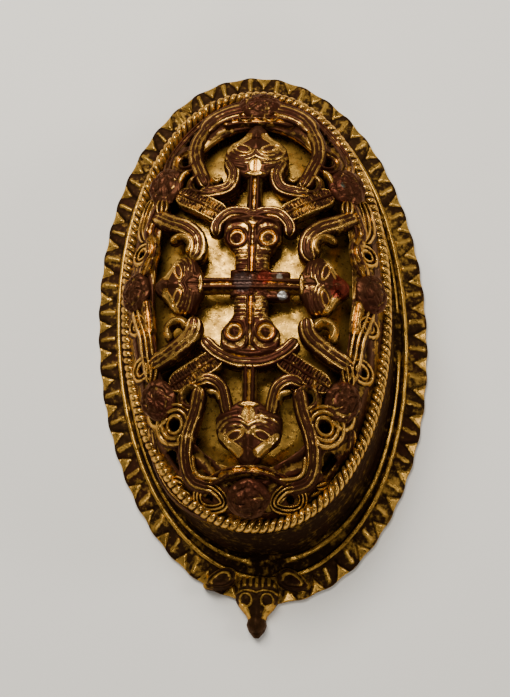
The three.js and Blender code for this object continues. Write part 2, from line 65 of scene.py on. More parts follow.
LINE_RISE = 0.65
LEDGE_RISE = 1.3
LEDGE_SHARE = 0.62
WALL = 1.5
WALL_FOOT_INSET = FLANGE_WIDTH + 2.6 + WALL
PLATEAU_TOP = 30.2
PLATEAU_FULLNESS = 0.9
PLATEAU_GAP_ACROSS = 1.4
PLATEAU_GAP_ALONG = 1.8
BACK_WEAR = 1.4
BACK_DIRT = 0.4

# Upper shell
BORDER_HALF_WIDTH = 26.4
BORDER_HALF_LENGTH = 45.3
BORDER_SKEW = 2
BORDER_HEIGHT = 19.1
BORDER_POWER = 2.13
ROPE_RADIUS = 0.95
ROPE_BULGE = 1.35
ROPE_INSET = 0.3
ROPE_LIFT = 1.4
ROPE_PITCH = 1.5
RINGS_PER_BEAD = 8
DOME_TOP = 36
DOME_POWER_ALONG = 1.8
DOME_POWER_ACROSS = 3.2
UPPER_THICKNESS = 2.2
BAND_WIDTH = 6.8
BAND_END_WIDTH = 10
RAIL_INSET_ACROSS = 2.3
RAIL_INSET_ALONG = 2.4
RAIL_HALF_WIDTH = 0.5
SEAT_GAP = 0.3
SHOULDER_DROP = 1.6

# Strapwork
STRAND_RISE = 1.3
PATH_STEP = 0.35
ARM_WIDTH = 4.3
ARM_POINTS = ((5.6, 14.2), (10.4, 17), (15.4, 19.8))
BAR_WIDTH = 2.9
BAR_OVERLAP = 2.2
SHAFT_OVERLAPS = (1.6, 1)
NOTCH_PITCH = 0.66
BRIGHT_BELOW = 0.35

# Bosses: across, along, height of the centre, radius and rise
CORNER_BOSS = (18, 22, 30.2, 4, 1.5)
END_BOSS = (0, 40.6, 26.9, 4.2, 1.8)
SIDE_BOSS = (23.3, 0, 29.6, 4, 1.5)
CENTRE_BOSS = (0, 0, 35.8, 3.6, 1.1)

# The corroded block and the lump beside it: middle, half-width, half-length and rise
CENTRE_BLOCKS = (((-0.2, 0.3), 4, 2.8, 1.35), ((5, -0.1), 2.5, 2.9, 1.1))

# Heads and masks
END_HEAD = dict(nape=22.8, nose=35, half=6, rise=2, crown=1.4)
SIDE_HEAD = dict(nape=9.3, nose=19, half=5.5, rise=2, crown=0.1)
HEAD_PLAN_LENGTH = 12.2
MASK = dict(snout=2.4, brow=14.6, half=6, rise=1.1)
TERMINAL_TIP = 64.6
TERMINAL_SHIFT = 0.5
LOBE_ACROSS = 7.4
LOBE_SHIFT = 0.4

# Pin fittings in the hollow, and the dome of its roof
LUGS = dict(along=27, gap=3.2, thick=2, width=7, foot=14)
CATCH = dict(along=-30, thick=1.6, width=8, foot=13, hook=3.4)
ROOF = (BORDER_HALF_WIDTH - 5.1, BORDER_HALF_LENGTH - 5.5, 16.35, 28.9)
ROOF_OVERLAP = 0.3

MM = 0.001
SHIFT_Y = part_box("lower_shell")[0][1] / MM + TERMINAL_TIP

# Limbs of the openwork at the plain end, for +X and mirrored: half-width, ribs, wear and points.
# No ribs stands for a smooth limb with fine lines along it. A limb that ends on the middle line
# goes on as its own mirror image.
NORTH_LIMBS = (
    (1.5, 0, 0.75, ((5.6, 26.8), (4.2, 23.6), (5.2, 20.6), (8.2, 19.6), (11, 19.4))),
    (1.6, 0, 0.75, ((9.6, 20.8), (11, 24), (12.4, 28), (12.2, 31.8), (10.6, 35.8))),
    (1.2, 2, 0.8, ((18.4, 26), (18.2, 29.8), (16.2, 33.6), (13, 37.4), (9.4, 40.2), (5, 42),
                   (0, 42.6))),
    (2.3, 0, 0.8, ((11.2, 34.6), (9.2, 37.6), (5.4, 39.4), (0, 39.9))),
    (1.3, 2, 0.75, ((7.2, 35.9), (4, 36.6), (0, 36.5))),
    (1.85, 0, 0.6, ((20.4, 16), (16.8, 13.6), (13.4, 12), (11.1, 9.8), (10.7, 7), (11.8, 5))),
    (1.5, 2, 0.55, ((22, 3), (20.8, 6), (20.2, 9), (21, 12.2), (20.2, 15), (18.8, 18.6))),
    (1.4, 3, 0, ((21.2, 20.4), (22.5, 17.2), (22.8, 13.6), (21.9, 10.6))),
    (1.4, 0, 0.9, ((7.2, 10), (7.1, 12.4), (5, 14.7), (2.2, 15.1), (0, 14.4))),
    (0.8, 1, 0.2, ((6.6, 22.8), (7.6, 21.8), (8.8, 23))),
    (0.9, 1, 0.3, ((13.2, 24.9), (14.6, 24), (15.4, 22))),
)
# Rings: middle, radius, half-width, ribs and wear
NORTH_RINGS = (
    (11, 21.5, 1.95, 0.85, 1, 0.5),
    (14.1, 27.2, 2.1, 1.15, 2, 0.75),
    (22.4, 7.9, 1.5, 0.95, 2, 0.2),
    (2.6, 37.7, 1.35, 0.5, 1, 0.35),
)
# Curls: middle, radius, half-width, and the degrees where each starts and ends
NORTH_CURLS = ((14.2, 8.3, 2, 0.95, 20, 235),)
# Holes through the band: middle and radius
NORTH_HOLES = ((11, 21.5, 1.1), (14.1, 27.2, 1.2), (22.4, 7.9, 0.9), (2.6, 37.7, 0.9),
               (12.4, 35.8, 0.75), (13.5, 34.3, 0.8), (14.6, 32.6, 0.75), (21.6, 17, 0.8))

# The same for the end with the terminal
SOUTH_LIMBS = (
    (1.35, 0, 0.75, ((4.2, -25.4), (4.7, -22.4), (5.6, -19.9), (8, -18.6), (10.4, -19.4))),
    (0.75, 1, -0.2, ((5.6, -22.8), (6.3, -21.3), (8.2, -20.9))),
    (1.6, 0, 0.85, ((9.6, -20.2), (10.4, -24.5), (12, -29), (12.4, -33.4), (11.2, -36.8),
                    (7.8, -38.4))),
    (0.55, 1, -0.3, ((10.9, -32.6), (10.6, -35.2), (9.2, -36.6), (5.6, -37.2))),
    (1.15, 2, 0.75, ((8, -37.8), (4.2, -36), (0, -35.4))),
    (1.35, 0, 0.8, ((19.8, -26), (19.3, -30), (17.9, -34), (15.4, -37.8), (12, -40.6),
                    (7.6, -42.9))),
    (0.45, 1, -0.3, ((17.3, -34), (15, -37), (11.8, -39.2))),
    (0.8, 1, 0.3, ((20.4, -23.8), (19.6, -25.8), (18, -26.8), (15.8, -25.6))),
    (1.9, 0, 0.6, ((20, -15.4), (16.8, -14), (13.6, -12), (11.4, -9.8), (10.8, -6.6))),
    (1.6, 3, 0.2, ((23.2, -2.6), (22.2, -6), (21, -9.4), (20.4, -13), (19.4, -18))),
    (1.2, 2, 0.45, ((21, -2), (20.4, -5.5), (20, -9))),
    (1.5, 0, 0.9, ((9.2, -10.9), (6.6, -13.4), (3.2, -15), (0, -15.3))),
)
SOUTH_RINGS = (
    (11.2, -21.9, 2, 0.85, 1, 0.5),
    (14.6, -26.8, 2.6, 1.6, 3, 0.05),
    (22.9, -6.6, 1.35, 0.9, 2, 0.2),
    (21.7, -15.4, 1.6, 0.95, 2, 0.2),
)
SOUTH_CURLS = ((14.4, -8.9, 1.9, 0.95, -60, 175),)
SOUTH_HOLES = ((11.2, -21.9, 1.2), (14.6, -26.8, 1.2), (22.9, -6.6, 0.8), (21.7, -15.4, 0.9),
               (15.6, -32.2, 1.3), (14.8, -34.2, 1), (7.9, -40.1, 0.8))
ALMOND = (7.6, -40.3, 2.9, 1.75, -20)

# Collars: middle, degrees, width and length
COLLARS = ((-18.6, 17.4, 90, 3.2, 3.6), (18.4, 17.2, 90, 3, 3.4), (-19.4, -16.4, 82, 3, 4.4),
           (19, -16.8, 100, 3, 4.2), (-12.8, -29.9, 80, 3.4, 2.4), (12.4, -30.1, 100, 3.4, 2.4),
           (-14.4, -36.6, 150, 2.6, 2.6), (14, -36.8, 30, 2.6, 2.6), (-8, 42.2, 95, 3.2, 3.6),
           (8, 42, 85, 3.2, 3.6))

# Gilding: colours, the wear at which half of it is gone and how softly, the least roughness,
# and how far broad and fine noise sway the wear
GILDING = dict(gold=(0.7, 0.4, 0.075), tarnish=(0.22, 0.11, 0.022), bare=(0.04, 0.018, 0.007),
               bias=0.58, softness=0.25, satin=0.09, mottle=(1.5, 1.5))
WORN_GILDING = dict(gold=(0.76, 0.43, 0.1), tarnish=(0.25, 0.125, 0.028),
                    bare=(0.054, 0.019, 0.009), bias=0.42, softness=0.2, satin=0,
                    mottle=(2.1, 1.9))
RED_CORROSION = (0.06, 0.0155, 0.009)
# Darkest colour, for dirt and for painted shade in grooves and gaps
GRIME_AND_SHADE = (0.012, 0.006, 0.003)
# Patches of corrosion, in colour only: middle, radius and colour
SPOTS = ((-1.6, 0.3, 37, 2, (0.062, 0.036, 0.03)), (2.6, 1.4, 37, 1.5, (0.11, 0.018, 0.01)),
         (5.4, 1.7, 36, 0.8, (0.28, 0.25, 0.21)), (6.1, -2.2, 36, 0.9, (0.36, 0.36, 0.35)),
         (17.7, 22, 33, 0.9, (0.05, 0.055, 0.04)), (-18.5, -21.5, 33, 0.9, (0.06, 0.065, 0.05)),
         (16.8, 0, 34, 2.6, (0.13, 0.02, 0.012)))

# Camera that matches the photograph, in millimetres, degrees and pixels
CAMERA = dict(azimuth=14.80, elevation=74.88, roll=1.57, distance=400, focal=1960.05,
              target=(-0.39, -7.34, 15))
IMAGE_LONG = 697
SENSOR = 36
# Lights, in metres and watts: place, size, power and colour
LIGHTS = {"key": ((-0.10, 0.21, 0.43), 0.26, 3.3, (1, 0.94, 0.84)),
          "fill": ((0.45, 0.05, 0.3), 0.14, 0.6, (1, 0.93, 0.85)),
          "front": ((0.06, -0.42, 0.42), 0.12, 0.6, (1, 0.94, 0.85))}
LIGHT_TARGET = (0, 0, 0.02)
WORLD_COLOR = (1, 0.96, 0.9, 1)
WORLD_STRENGTH = 0.06
FLOOR_REACH = 1.2
FLOOR_DROP = 0.0002
FLOOR_COLOR = (0.92, 0.92, 0.9, 1)
FLOOR_ROUGHNESS = 0.8


# Curves, profiles and the dome
def full_turn(count):
    """Angles right round, without the last one that would repeat the first."""
    return np.linspace(0, 2 * np.pi, count, endpoint=False)


def rotated(x, y, angle):
    c, s = math.cos(angle), math.sin(angle)
    return x * c - y * s, x * s + y * c


def oval(a, b, power, skew, turn):
    """Points of a skewed superellipse; turn may be an array of angles."""
    c, s = np.cos(turn), np.sin(turn)
    x = a * np.sign(c) * np.abs(c) ** (2 / power)
    y = b * np.sign(s) * np.abs(s) ** (2 / power)
    return rotated(x, y, math.radians(skew))


def border_oval(turn, inset=0):
    """The rope border's line, drawn in by inset."""
    return oval(BORDER_HALF_WIDTH - inset, BORDER_HALF_LENGTH - inset, BORDER_POWER, BORDER_SKEW,
                turn)


def flange_oval(turn, inset=0):
    """The flange's outline, drawn in by inset."""
    return oval(FLANGE_HALF_WIDTH - inset, FLANGE_HALF_LENGTH - inset, FLANGE_POWER, FLANGE_SKEW,
                turn)


def run_along(x, y):
    """Distance of each point along a line of points."""
    return np.concatenate([[0], np.cumsum(np.hypot(np.diff(x), np.diff(y)))])


def smooth_step(low, high, value):
    """0 up to low, 1 from high on, and a smooth rise between."""
    t = np.clip((value - low) / (high - low), 0, 1)
    return t * t * (3 - 2 * t)


def bump(value, middle, half):
    """A rounded ridge of height 1 at middle, nil beyond half."""
    t = np.clip(1 - np.abs(value - middle) / half, 0, 1)
    return t * t * (3 - 2 * t)


def broad_bump(value, middle, half):
    """The same with a flat top and steep sides."""
    return np.clip(1 - ((value - middle) / half) ** 4, 0, 1)


def falling(u, power):
    """1 in the middle and 0 at -1 and 1; a higher power keeps it full for longer."""
    return np.sqrt(np.clip(1 - np.abs(u) ** power, 0, 1))


def half_ball(x, y=0):
    """Height of a ball of radius 1 over its plan, nil outside it."""
    return np.sqrt(np.clip(1 - x ** 2 - y ** 2, 0, 1))


def waves(distance, pitch=1):
    """Even rounded ridges between 0 and 1, the first at nil distance."""
    return 0.5 + 0.5 * np.cos(2 * np.pi * distance / pitch)


def rolling(x, y, scale, seed):
    """Gentle unevenness, the same each run."""
    rng = np.random.default_rng(seed)
    total = 0
    for _ in range(4):
        kx, ky, phase = rng.normal(0, 1 / scale), rng.normal(0, 1 / scale), rng.uniform(0, 6.28)
        total = total + np.sin(kx * x + ky * y + phase)
    return total / 4


def dome(a, b, base, top, x, y, fuller=0):
    """Height of a dome that is flatter across than along; fuller keeps its flanks high."""
    reach = np.hypot(x / a, y / b) + 1e-9
    across = (x / a / reach) ** 2
    power = (DOME_POWER_ALONG + fuller * 0.5
             + (DOME_POWER_ACROSS - DOME_POWER_ALONG + fuller) * across)
    return base + (top - base) * falling(reach, power)


def top_skin(x, y):
    """The openwork's upper skin, with a shoulder that is a little softer than the dome's."""
    reach = np.hypot(x / BORDER_HALF_WIDTH, y / BORDER_HALF_LENGTH)
    z = dome(BORDER_HALF_WIDTH, BORDER_HALF_LENGTH, BORDER_HEIGHT, DOME_TOP, x, y)
    return z - SHOULDER_DROP * smooth_step(0.84, 1, reach)


def placed(name, data):
    """A new object in the scene."""
    made = bpy.data.objects.new(name, data)
    bpy.context.scene.collection.objects.link(made)
    return made


def to_frame(points):
    moved = np.array(points, dtype=float)
    moved[:, 1] += SHIFT_Y
    return moved * MM


# Meshes
class Sheet:
    """Gathers grids of points with wear and with dirt and painted shade, and turns them into one
    mesh.
    """

    def __init__(self):
        self.points, self.faces, self.wear, self.dirt_and_shade = [], [], [], []
        self.count = 0

    def add(self, points, faces, wear, dirt_and_shade):
        self.points.append(points)
        self.faces.append(faces + self.count)
        self.wear.append(wear)
        self.dirt_and_shade.append(dirt_and_shade)
        self.count += len(points)

    def rings(self, grid, wear, dirt_and_shade, closed=False):
        """A grid of rings: rows along, points round; the ends are capped unless closed."""
        rows, around = grid.shape[:2]
        i = np.arange(rows if closed else rows - 1)[:, None]
        k = np.arange(around)
        after = (k + 1) % around
        row, following = i * around, (i + 1) % rows * around
        faces = np.stack([row + k, row + after, following + after, following + k], -1)
        faces = faces.reshape(-1, 4)
        points = grid.reshape(-1, 3)
        wear, dirt_and_shade = (np.broadcast_to(values, (rows, around)).reshape(-1)
                      for values in (wear, dirt_and_shade))
        if not closed:
            first, last = np.full(around, len(points)), (rows - 1) * around
            cap = np.stack([first, after, k, k], -1)
            tail = np.stack([first + 1, last + k, last + after, last + after], -1)
            faces = np.concatenate([faces, cap, tail])
            points = np.concatenate([points, [grid[0].mean(0), grid[-1].mean(0)]])
            wear, dirt_and_shade = (np.concatenate([values, values[[0, -1]]]) for values in (wear, dirt_and_shade))
        self.add(points, faces, wear, dirt_and_shade)

    def slab(self, x, y, z, foot, wear, dirt_and_shade, foot_wear, foot_dirt_and_shade=1, closed=False):
        """A raised field of rows, each closed below by its two ends at the height foot; the sides
        darken towards the foot with painted shade, fully unless a foot value is given.
        """
        def ringed(field, below):
            return np.concatenate([np.broadcast_to(field, z.shape),
                                   np.broadcast_to(below, z.shape)[:, [-1, 0]]], 1)

        self.rings(np.stack([ringed(x, x), ringed(y, y), ringed(z, foot)], -1),
                   ringed(wear, foot_wear), ringed(dirt_and_shade, foot_dirt_and_shade), closed)

    def build(self, name, material, node):
        """Makes the piece that stands for a CAD node."""
        faces = np.concatenate(self.faces)
        polygons = [tuple(dict.fromkeys(face)) for face in faces.tolist()]
        mesh = bpy.data.meshes.new(name)
        mesh.from_pydata(to_frame(np.concatenate(self.points)).tolist(), [], polygons)
        for label, values in (("wear", self.wear), ("depth", self.dirt_and_shade)):
            layer = mesh.attributes.new(label, "FLOAT", "POINT")
            layer.data.foreach_set("value", np.concatenate(values).astype(np.float32))
        mesh.validate()
        mesh.polygons.foreach_set("use_smooth", [True] * len(mesh.polygons))
        outward(mesh)
        mesh.materials.append(material)
        piece = placed(name, mesh)
        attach(piece, "root")
        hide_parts(node)


def outward(mesh):
    """Turns every closed part of a mesh right side out."""
    work = bmesh.new()
    work.from_mesh(mesh)
    bmesh.ops.recalc_face_normals(work, faces=work.faces)
    work.to_mesh(mesh)
    work.free()


class Rings:
    """Gathers rings one by one, with their wear and their dirt and painted shade."""

    def __init__(self):
        self.parts = [], [], []

    def add(self, x, y, z, wear, dirt_and_shade):
        ring = np.stack([x, y, z + 0 * x], -1), wear + 0 * x, dirt_and_shade + 0 * x
        for part, values in zip(self.parts, ring):
            part.append(values)

    def stacked(self, start=0):
        """The grids of points, wear and dirt, from the ring numbered start and round to it."""
        return [np.stack(part[start:] + part[:start]) for part in self.parts]


# Sweeps along the dome
def spaced(points, step):
    """Even points along a smooth curve through a few chosen ones."""
    p = np.array(points, dtype=float)
    ring = np.concatenate([2 * p[:1] - p[1:2], p, 2 * p[-1:] - p[-2:-1]])
    t = np.linspace(0, 1, 24, endpoint=False)[:, None]
    fine = []
    for a, b, c, d in zip(ring, ring[1:], ring[2:], ring[3:]):
        fine.append(0.5 * (2 * b + (c - a) * t + (2 * a - 5 * b + 4 * c - d) * t ** 2
                           + (3 * b - a - 3 * c + d) * t ** 3))
    fine = np.concatenate(fine + [ring[-2:-1]])
    run = run_along(*fine.T)
    at = np.linspace(0, run[-1], max(4, int(round(run[-1] / step))))
    return np.stack([np.interp(at, run, fine[:, k]) for k in (0, 1)], -1)


def normals(path, closed):
    """Directions on the plan across a path."""
    if closed:
        along = np.roll(path, -1, 0) - np.roll(path, 1, 0)
    else:
        along = np.gradient(path, axis=0)
    along /= np.linalg.norm(along, axis=1)[:, None] + 1e-9
    return np.stack([along[:, 1], -along[:, 0]], -1)


def strap(sheet, path, half, height, wear, lift=0, depth=UPPER_THICKNESS, closed=False,
          columns=15, dirt_and_shade=None):
    """A strap on the dome; height, wear, and dirt with painted shade depend on u, -1 to 1 across,
    and on s along.
    """
    side = normals(path, closed)
    run = run_along(*path.T)[:, None]
    blunt = np.ones((len(path), 1))
    if not closed:
        near_end = np.clip(np.minimum(run, run[-1] - run) / (1.1 * half), 0, 1)
        blunt = 0.25 + 0.75 * np.sqrt(1 - (1 - near_end) ** 2)
    u = np.linspace(-1, 1, columns)[None, :]
    x, y = (path[:, k:k + 1] + side[:, k:k + 1] * (half * blunt) * u for k in (0, 1))
    skin = top_skin(path[:, 0], path[:, 1])[:, None] * 0.5 + top_skin(x, y) * 0.5
    z = skin + height(u, run) * blunt ** 0.5 + lift
    # Unless given, the strap darkens towards its edges and fully down its sides: painted shade
    # where it drops into the gaps
    sheet.slab(x, y, z, skin - depth, wear(u, run),
               dirt_and_shade(u, run) if dirt_and_shade else 0.1 + 0.5 * np.abs(u) ** 4, 0.35, closed=closed)


def rib_wave(ribs, u):
    """Waves across a strap, from -1 in its grooves to 1 on its ribs."""
    return np.cos(np.pi * ribs * (u + 1 + 1 / ribs))


def ribbed(ribs, rise):
    """Section with a number of rounded ribs and dropping edges."""
    return lambda u, s: rise * falling(u, 3.2) * (0.66 + 0.34 * rib_wave(ribs, u))


def ribbed_wear(ribs, groove, crest):
    return lambda u, s: groove + (crest - groove) * (0.5 + 0.5 * rib_wave(ribs, u))


def groove_dirt_and_shade(ribs):
    """Dirt and painted shade that fill the grooves between bright ribs."""
    return ribbed_wear(ribs, 0.9, 0)


def rib_looks(ribs, wear, contrast):
    """Bright gilt ribs, partly a painted highlight, over grooves dark with painted shade where wear
    is low, or else worn ones over brighter grooves.
    """
    if wear < BRIGHT_BELOW:
        return dict(wear=ribbed_wear(ribs, 0.85, wear - 0.3), dirt_and_shade=groove_dirt_and_shade(ribs))
    return dict(wear=ribbed_wear(ribs, wear - contrast, wear + 0.1))


def lined(rise):
    """Section of a smooth limb with a fine line cut along each side and along its middle."""
    return lambda u, s: rise * falling(u, 2.6) - (bump(np.abs(u), 0.55, 0.17) * 0.34
                                                  + bump(u, 0, 0.15) * 0.22)


def lined_wear(high):
    return lambda u, s: (high + 0.1 - 1.2 * bump(np.abs(u), 0.55, 0.15)
                         - 0.5 * bump(u, 0, 0.12))


# The pierced band and its border
def band_rail(sheet):
    """A fine rail that runs right round the band, inside the rope."""
    x, y = oval(BORDER_HALF_WIDTH - RAIL_INSET_ACROSS, BORDER_HALF_LENGTH - RAIL_INSET_ALONG,
                BORDER_POWER, BORDER_SKEW * (1 - RAIL_INSET_ACROSS / BAND_WIDTH),
                full_turn(560))
    strap(sheet, np.stack([x, y], -1), RAIL_HALF_WIDTH, ribbed(1, 0.8), ribbed_wear(1, 0.65, 0.95),
          lift=-0.4, depth=1, closed=True, columns=7)


def joined(quads, count):
    """The quads that share a side with another, so that no sliver stays between two holes."""
    ends = np.stack([quads, np.roll(quads, -1, 1)], -1)
    key = ends.min(-1) * count + ends.max(-1)
    _, index, uses = np.unique(key.ravel(), return_inverse=True, return_counts=True)
    return quads[(uses[index].reshape(key.shape) > 1).any(1)]


def plate_with_holes(sheet, top, bottom, holes, wear, dirt_and_shade):
    """A ring-shaped plate between two grids of points, with round holes on the plan."""
    rows, columns = top.shape[:2]
    xy = top[..., :2].reshape(-1, 2)
    n = len(xy)
    top, bottom = top.reshape(-1, 3).copy(), bottom.reshape(-1, 3).copy()
    gone = np.zeros(n, bool)
    for hx, hy, radius in holes:
        gone |= np.hypot(xy[:, 0] - hx, xy[:, 1] - hy) < radius
    i = np.arange(rows - 1)[:, None] * columns
    j = np.arange(columns)
    after = (j + 1) % columns
    quads = np.stack([i + j, i + after, i + columns + after, i + columns + j], -1).reshape(-1, 4)
    kept = joined(quads[~gone[quads].any(1)], n)
    edges = np.stack([kept, np.roll(kept, -1, 1)], -1).transpose(1, 0, 2).reshape(-1, 2)
    forward = {tuple(e) for e in edges.tolist()}
    rim = np.array([e for e in forward if (e[1], e[0]) not in forward])
    # The rim of each hole is drawn in to a true circle
    for hx, hy, radius in holes:
        near = rim[np.hypot(xy[rim[:, 0], 0] - hx, xy[rim[:, 0], 1] - hy) < radius * 1.7]
        for k in set(near.ravel().tolist()):
            off = xy[k] - (hx, hy)
            scale = radius / (np.hypot(*off) + 1e-9)
            for level in (top, bottom):
                level[k, :2] = (hx + off[0] * scale, hy + off[1] * scale)
    walls = np.stack([rim[:, 1], rim[:, 0], rim[:, 0] + n, rim[:, 1] + n], -1)
    faces = np.concatenate([kept, kept[:, ::-1] + n, walls])
    used = np.zeros(2 * n, bool)
    used[faces.ravel()] = True
    index = np.cumsum(used) - 1
    sheet.add(np.concatenate([top, bottom])[used], index[faces],
              np.concatenate([wear.ravel(), np.full(n, 0.3)])[used],
              np.concatenate([dirt_and_shade.ravel(), np.ones(n)])[used])


def piercings():
    """The holes of both halves that fall on the band's plate, and not in the open middle."""
    inner = BORDER_HALF_WIDTH - BAND_WIDTH, BORDER_HALF_LENGTH - BAND_END_WIDTH
    return [(side * x, y, radius) for side in (-1, 1) for x, y, radius in NORTH_HOLES + SOUTH_HOLES
            if np.hypot(x / inner[0], y / inner[1]) > 1.02]


def pierced_band(sheet):
    """The band between the rope and the limbs, with a low weave of crests on it."""
    turn = full_turn(720)
    levels, crests = [], []
    for drop in (0, UPPER_THICKNESS):
        a, b = BORDER_HALF_WIDTH - drop, BORDER_HALF_LENGTH - drop
        rows = []
        for share in np.linspace(0, 1, 44) ** 1.2:
            x, y = oval(a - share * (BAND_WIDTH - drop),
                        b - share * (BAND_END_WIDTH - drop),
                        BORDER_POWER, BORDER_SKEW * (1 - share), turn)
            z = dome(a, b, BORDER_HEIGHT - 0.4, DOME_TOP - drop, x, y)
            if drop == 0:
                crest = waves(3.4 * share + 0.35 * np.sin(7 * turn) + 0.2 * np.sin(17 * turn + 1))
                dip = 0.06 * rolling(x, y, 1.2, 3) - 0.45 - 1.7 * (1 - min(share / 0.35, 1))
                z = z + dip + 0.5 * crest
                crests.append(crest)
            rows.append(np.stack([x, y, z], -1))
        levels.append(np.stack(rows))
    crests = np.stack(crests)
    # The plate between the crests is darkened with painted shade, so that it reads as the deep gaps
    # of the openwork
    plate_with_holes(sheet, *levels, piercings(), 0.25 + 0.75 * crests, 0.95 - 0.9 * crests)


def rope_border(sheet):
    """The border of slanting beads, as many as fit evenly round it."""
    turn = np.linspace(0, 2 * np.pi, 4000)
    run = run_along(*border_oval(turn))
    beads = round(run[-1] / ROPE_PITCH)
    at = np.linspace(0, run[-1], beads * RINGS_PER_BEAD, endpoint=False)
    phi = full_turn(20)
    twist = 2 * phi[None, :] - 2 * np.pi * beads * at[:, None] / run[-1]
    crest = np.abs(np.cos(twist / 2))
    radius = ROPE_BULGE * (0.6 + 0.4 * crest ** 0.6)
    out = np.minimum(radius * np.cos(phi), ROPE_RADIUS + ROPE_INSET) - ROPE_INSET
    x, y = border_oval(np.interp(at, run, turn)[:, None], -out)
    z = BORDER_HEIGHT + ROPE_LIFT + np.maximum(radius * np.sin(phi) * 1.5,
                                               -ROPE_RADIUS - ROPE_LIFT)
    # The hollows between the beads are darkened with painted shade, and the bead crests kept gilt,
    # partly as a painted highlight
    sheet.rings(np.stack([x, y, z], -1), 0.7 - 1.5 * crest ** 1.5, 1.1 - 1.5 * crest, True)


def collars(sheet):
    """Short bundles of ribs that bind the strands beside some bosses."""
    for x, y, degrees, width, length in COLLARS:
        k = math.radians(degrees)
        middle = np.array([x, y])
        half = np.array([math.cos(k), math.sin(k)]) * length / 2
        path = spaced((middle - half, middle, middle + half), PATH_STEP)
        strap(sheet, path, width / 2, ribbed(3, STRAND_RISE + 0.35), ribbed_wear(3, 0.9, -0.2),
              0.15, columns=21, dirt_and_shade=groove_dirt_and_shade(3))


# Bosses and blocks
def boss(sheet, x, y, z, radius, rise, seed, flat=0):
    """A low domed boss that leans with the dome, uneven with wear and corrosion."""
    step = 0.4
    slope = [(top_skin(x + dx, y + dy) - top_skin(x - dx, y - dy)) / (2 * step)
             for dx, dy in ((step, 0), (0, step))]
    lean = np.arctan(np.linalg.norm(slope)) * 0.7
    axis = Vector((slope[1], -slope[0], 0)).normalized() if lean > 1e-4 else Vector((1, 0, 0))
    tilt = np.array(Matrix.Rotation(lean, 3, axis))
    phi = full_turn(88)
    theta = np.linspace(0.02, np.pi - 0.02, 44)[:, None]
    uneven = 1 + 0.1 * rolling(np.cos(phi) * 3, np.sin(phi) * 3, 0.9, seed)
    px = radius * np.sin(theta) * np.cos(phi) * uneven
    py = radius * np.sin(theta) * np.sin(phi) * uneven
    cap = np.sign(np.cos(theta)) * np.abs(np.cos(theta)) ** (1 - flat)
    out = np.hypot(px, py) / radius
    knot = (bump(out, 0.62, 0.1)
            + bump(np.sin(2 * phi + 2.2 * out + seed), 0, 0.3) * (out > 0.2) * (out < 0.9))
    rough = (0.3 * rolling(px, py, 0.5, seed + 1) + 0.16 * rolling(px, py, 0.22, seed + 2)
             - 0.28 * knot)
    pz = rise * cap + rough * (np.cos(theta) > 0)
    grid = np.stack([px, py, pz], -1) @ tilt.T + (x, y, z)
    sheet.rings(grid, 1.1 - 0.45 * knot + 0.3 * rolling(px, py, 0.8, seed + 3), 0.35 * knot)


def bosses(sheet):
    x, y, *size = CORNER_BOSS
    for number, (sx, sy) in enumerate(((-1, -1), (-1, 1), (1, -1), (1, 1))):
        boss(sheet, sx * x, sy * y, *size, 20 + 3 * number)
    for sign in (-1, 1):
        boss(sheet, 0, sign * END_BOSS[1], *END_BOSS[2:], 40 + sign)
        boss(sheet, sign * SIDE_BOSS[0], 0, *SIDE_BOSS[2:], 50 + sign)
    boss(sheet, *CENTRE_BOSS, 61, 0.45)


def centre_block(sheet, middle, half_width, half_length, rise):
    """A corroded block with shallow grooves, where the bar and the masks meet."""
    u = np.linspace(-1, 1, 41)[None, :]
    v = np.linspace(-1, 1, 36)[:, None]
    x = middle[0] + half_width * u + 0 * v
    y = middle[1] + half_length * v + 0 * u
    grooves = (0.22 * np.cos(np.pi * y / 1.35) + 0.16 * rolling(x, y, 0.6, 71)
               + 0.1 * rolling(x, y, 0.25, 72))
    skin = top_skin(x, y)
    z = skin + (rise + grooves) * (falling(u, 8) * falling(v, 8)) - 0.6
    sheet.slab(x, y, z, skin - UPPER_THICKNESS, 1.2, 0, 1.2, 0)


# Heads and masks on their own grids
def relief(sheet, start, end, turn, widths, shape):
    """A field from start to end along its axis; shape(q, v) gives its height and its wear.

    Widths pairs shares of the length with half-widths, q is across and v is the share along.
    """
    v = np.linspace(0, 1, 96)[:, None]
    u = np.linspace(-1, 1, 81)[None, :]
    q = u * np.interp(v, *widths)
    x, y = rotated(q, start + (end - start) * v, turn)
    edge = falling(u, 6)
    skin = top_skin(x, y)
    height, wear = shape(q, v)
    z = skin + height * edge - 0.5 * (1 - edge)
    sheet.slab(x, y, z, skin - UPPER_THICKNESS, wear, 0, 0.4)


def line_distance(q, p, a, b):
    """Distance in plan from points to a short line."""
    a, b = np.array(a, float), np.array(b, float)
    run = b - a
    t = np.clip(((q - a[0]) * run[0] + (p - a[1]) * run[1]) / (run @ run), 0, 1)
    return np.hypot(q - a[0] - t * run[0], p - a[1] - t * run[1])


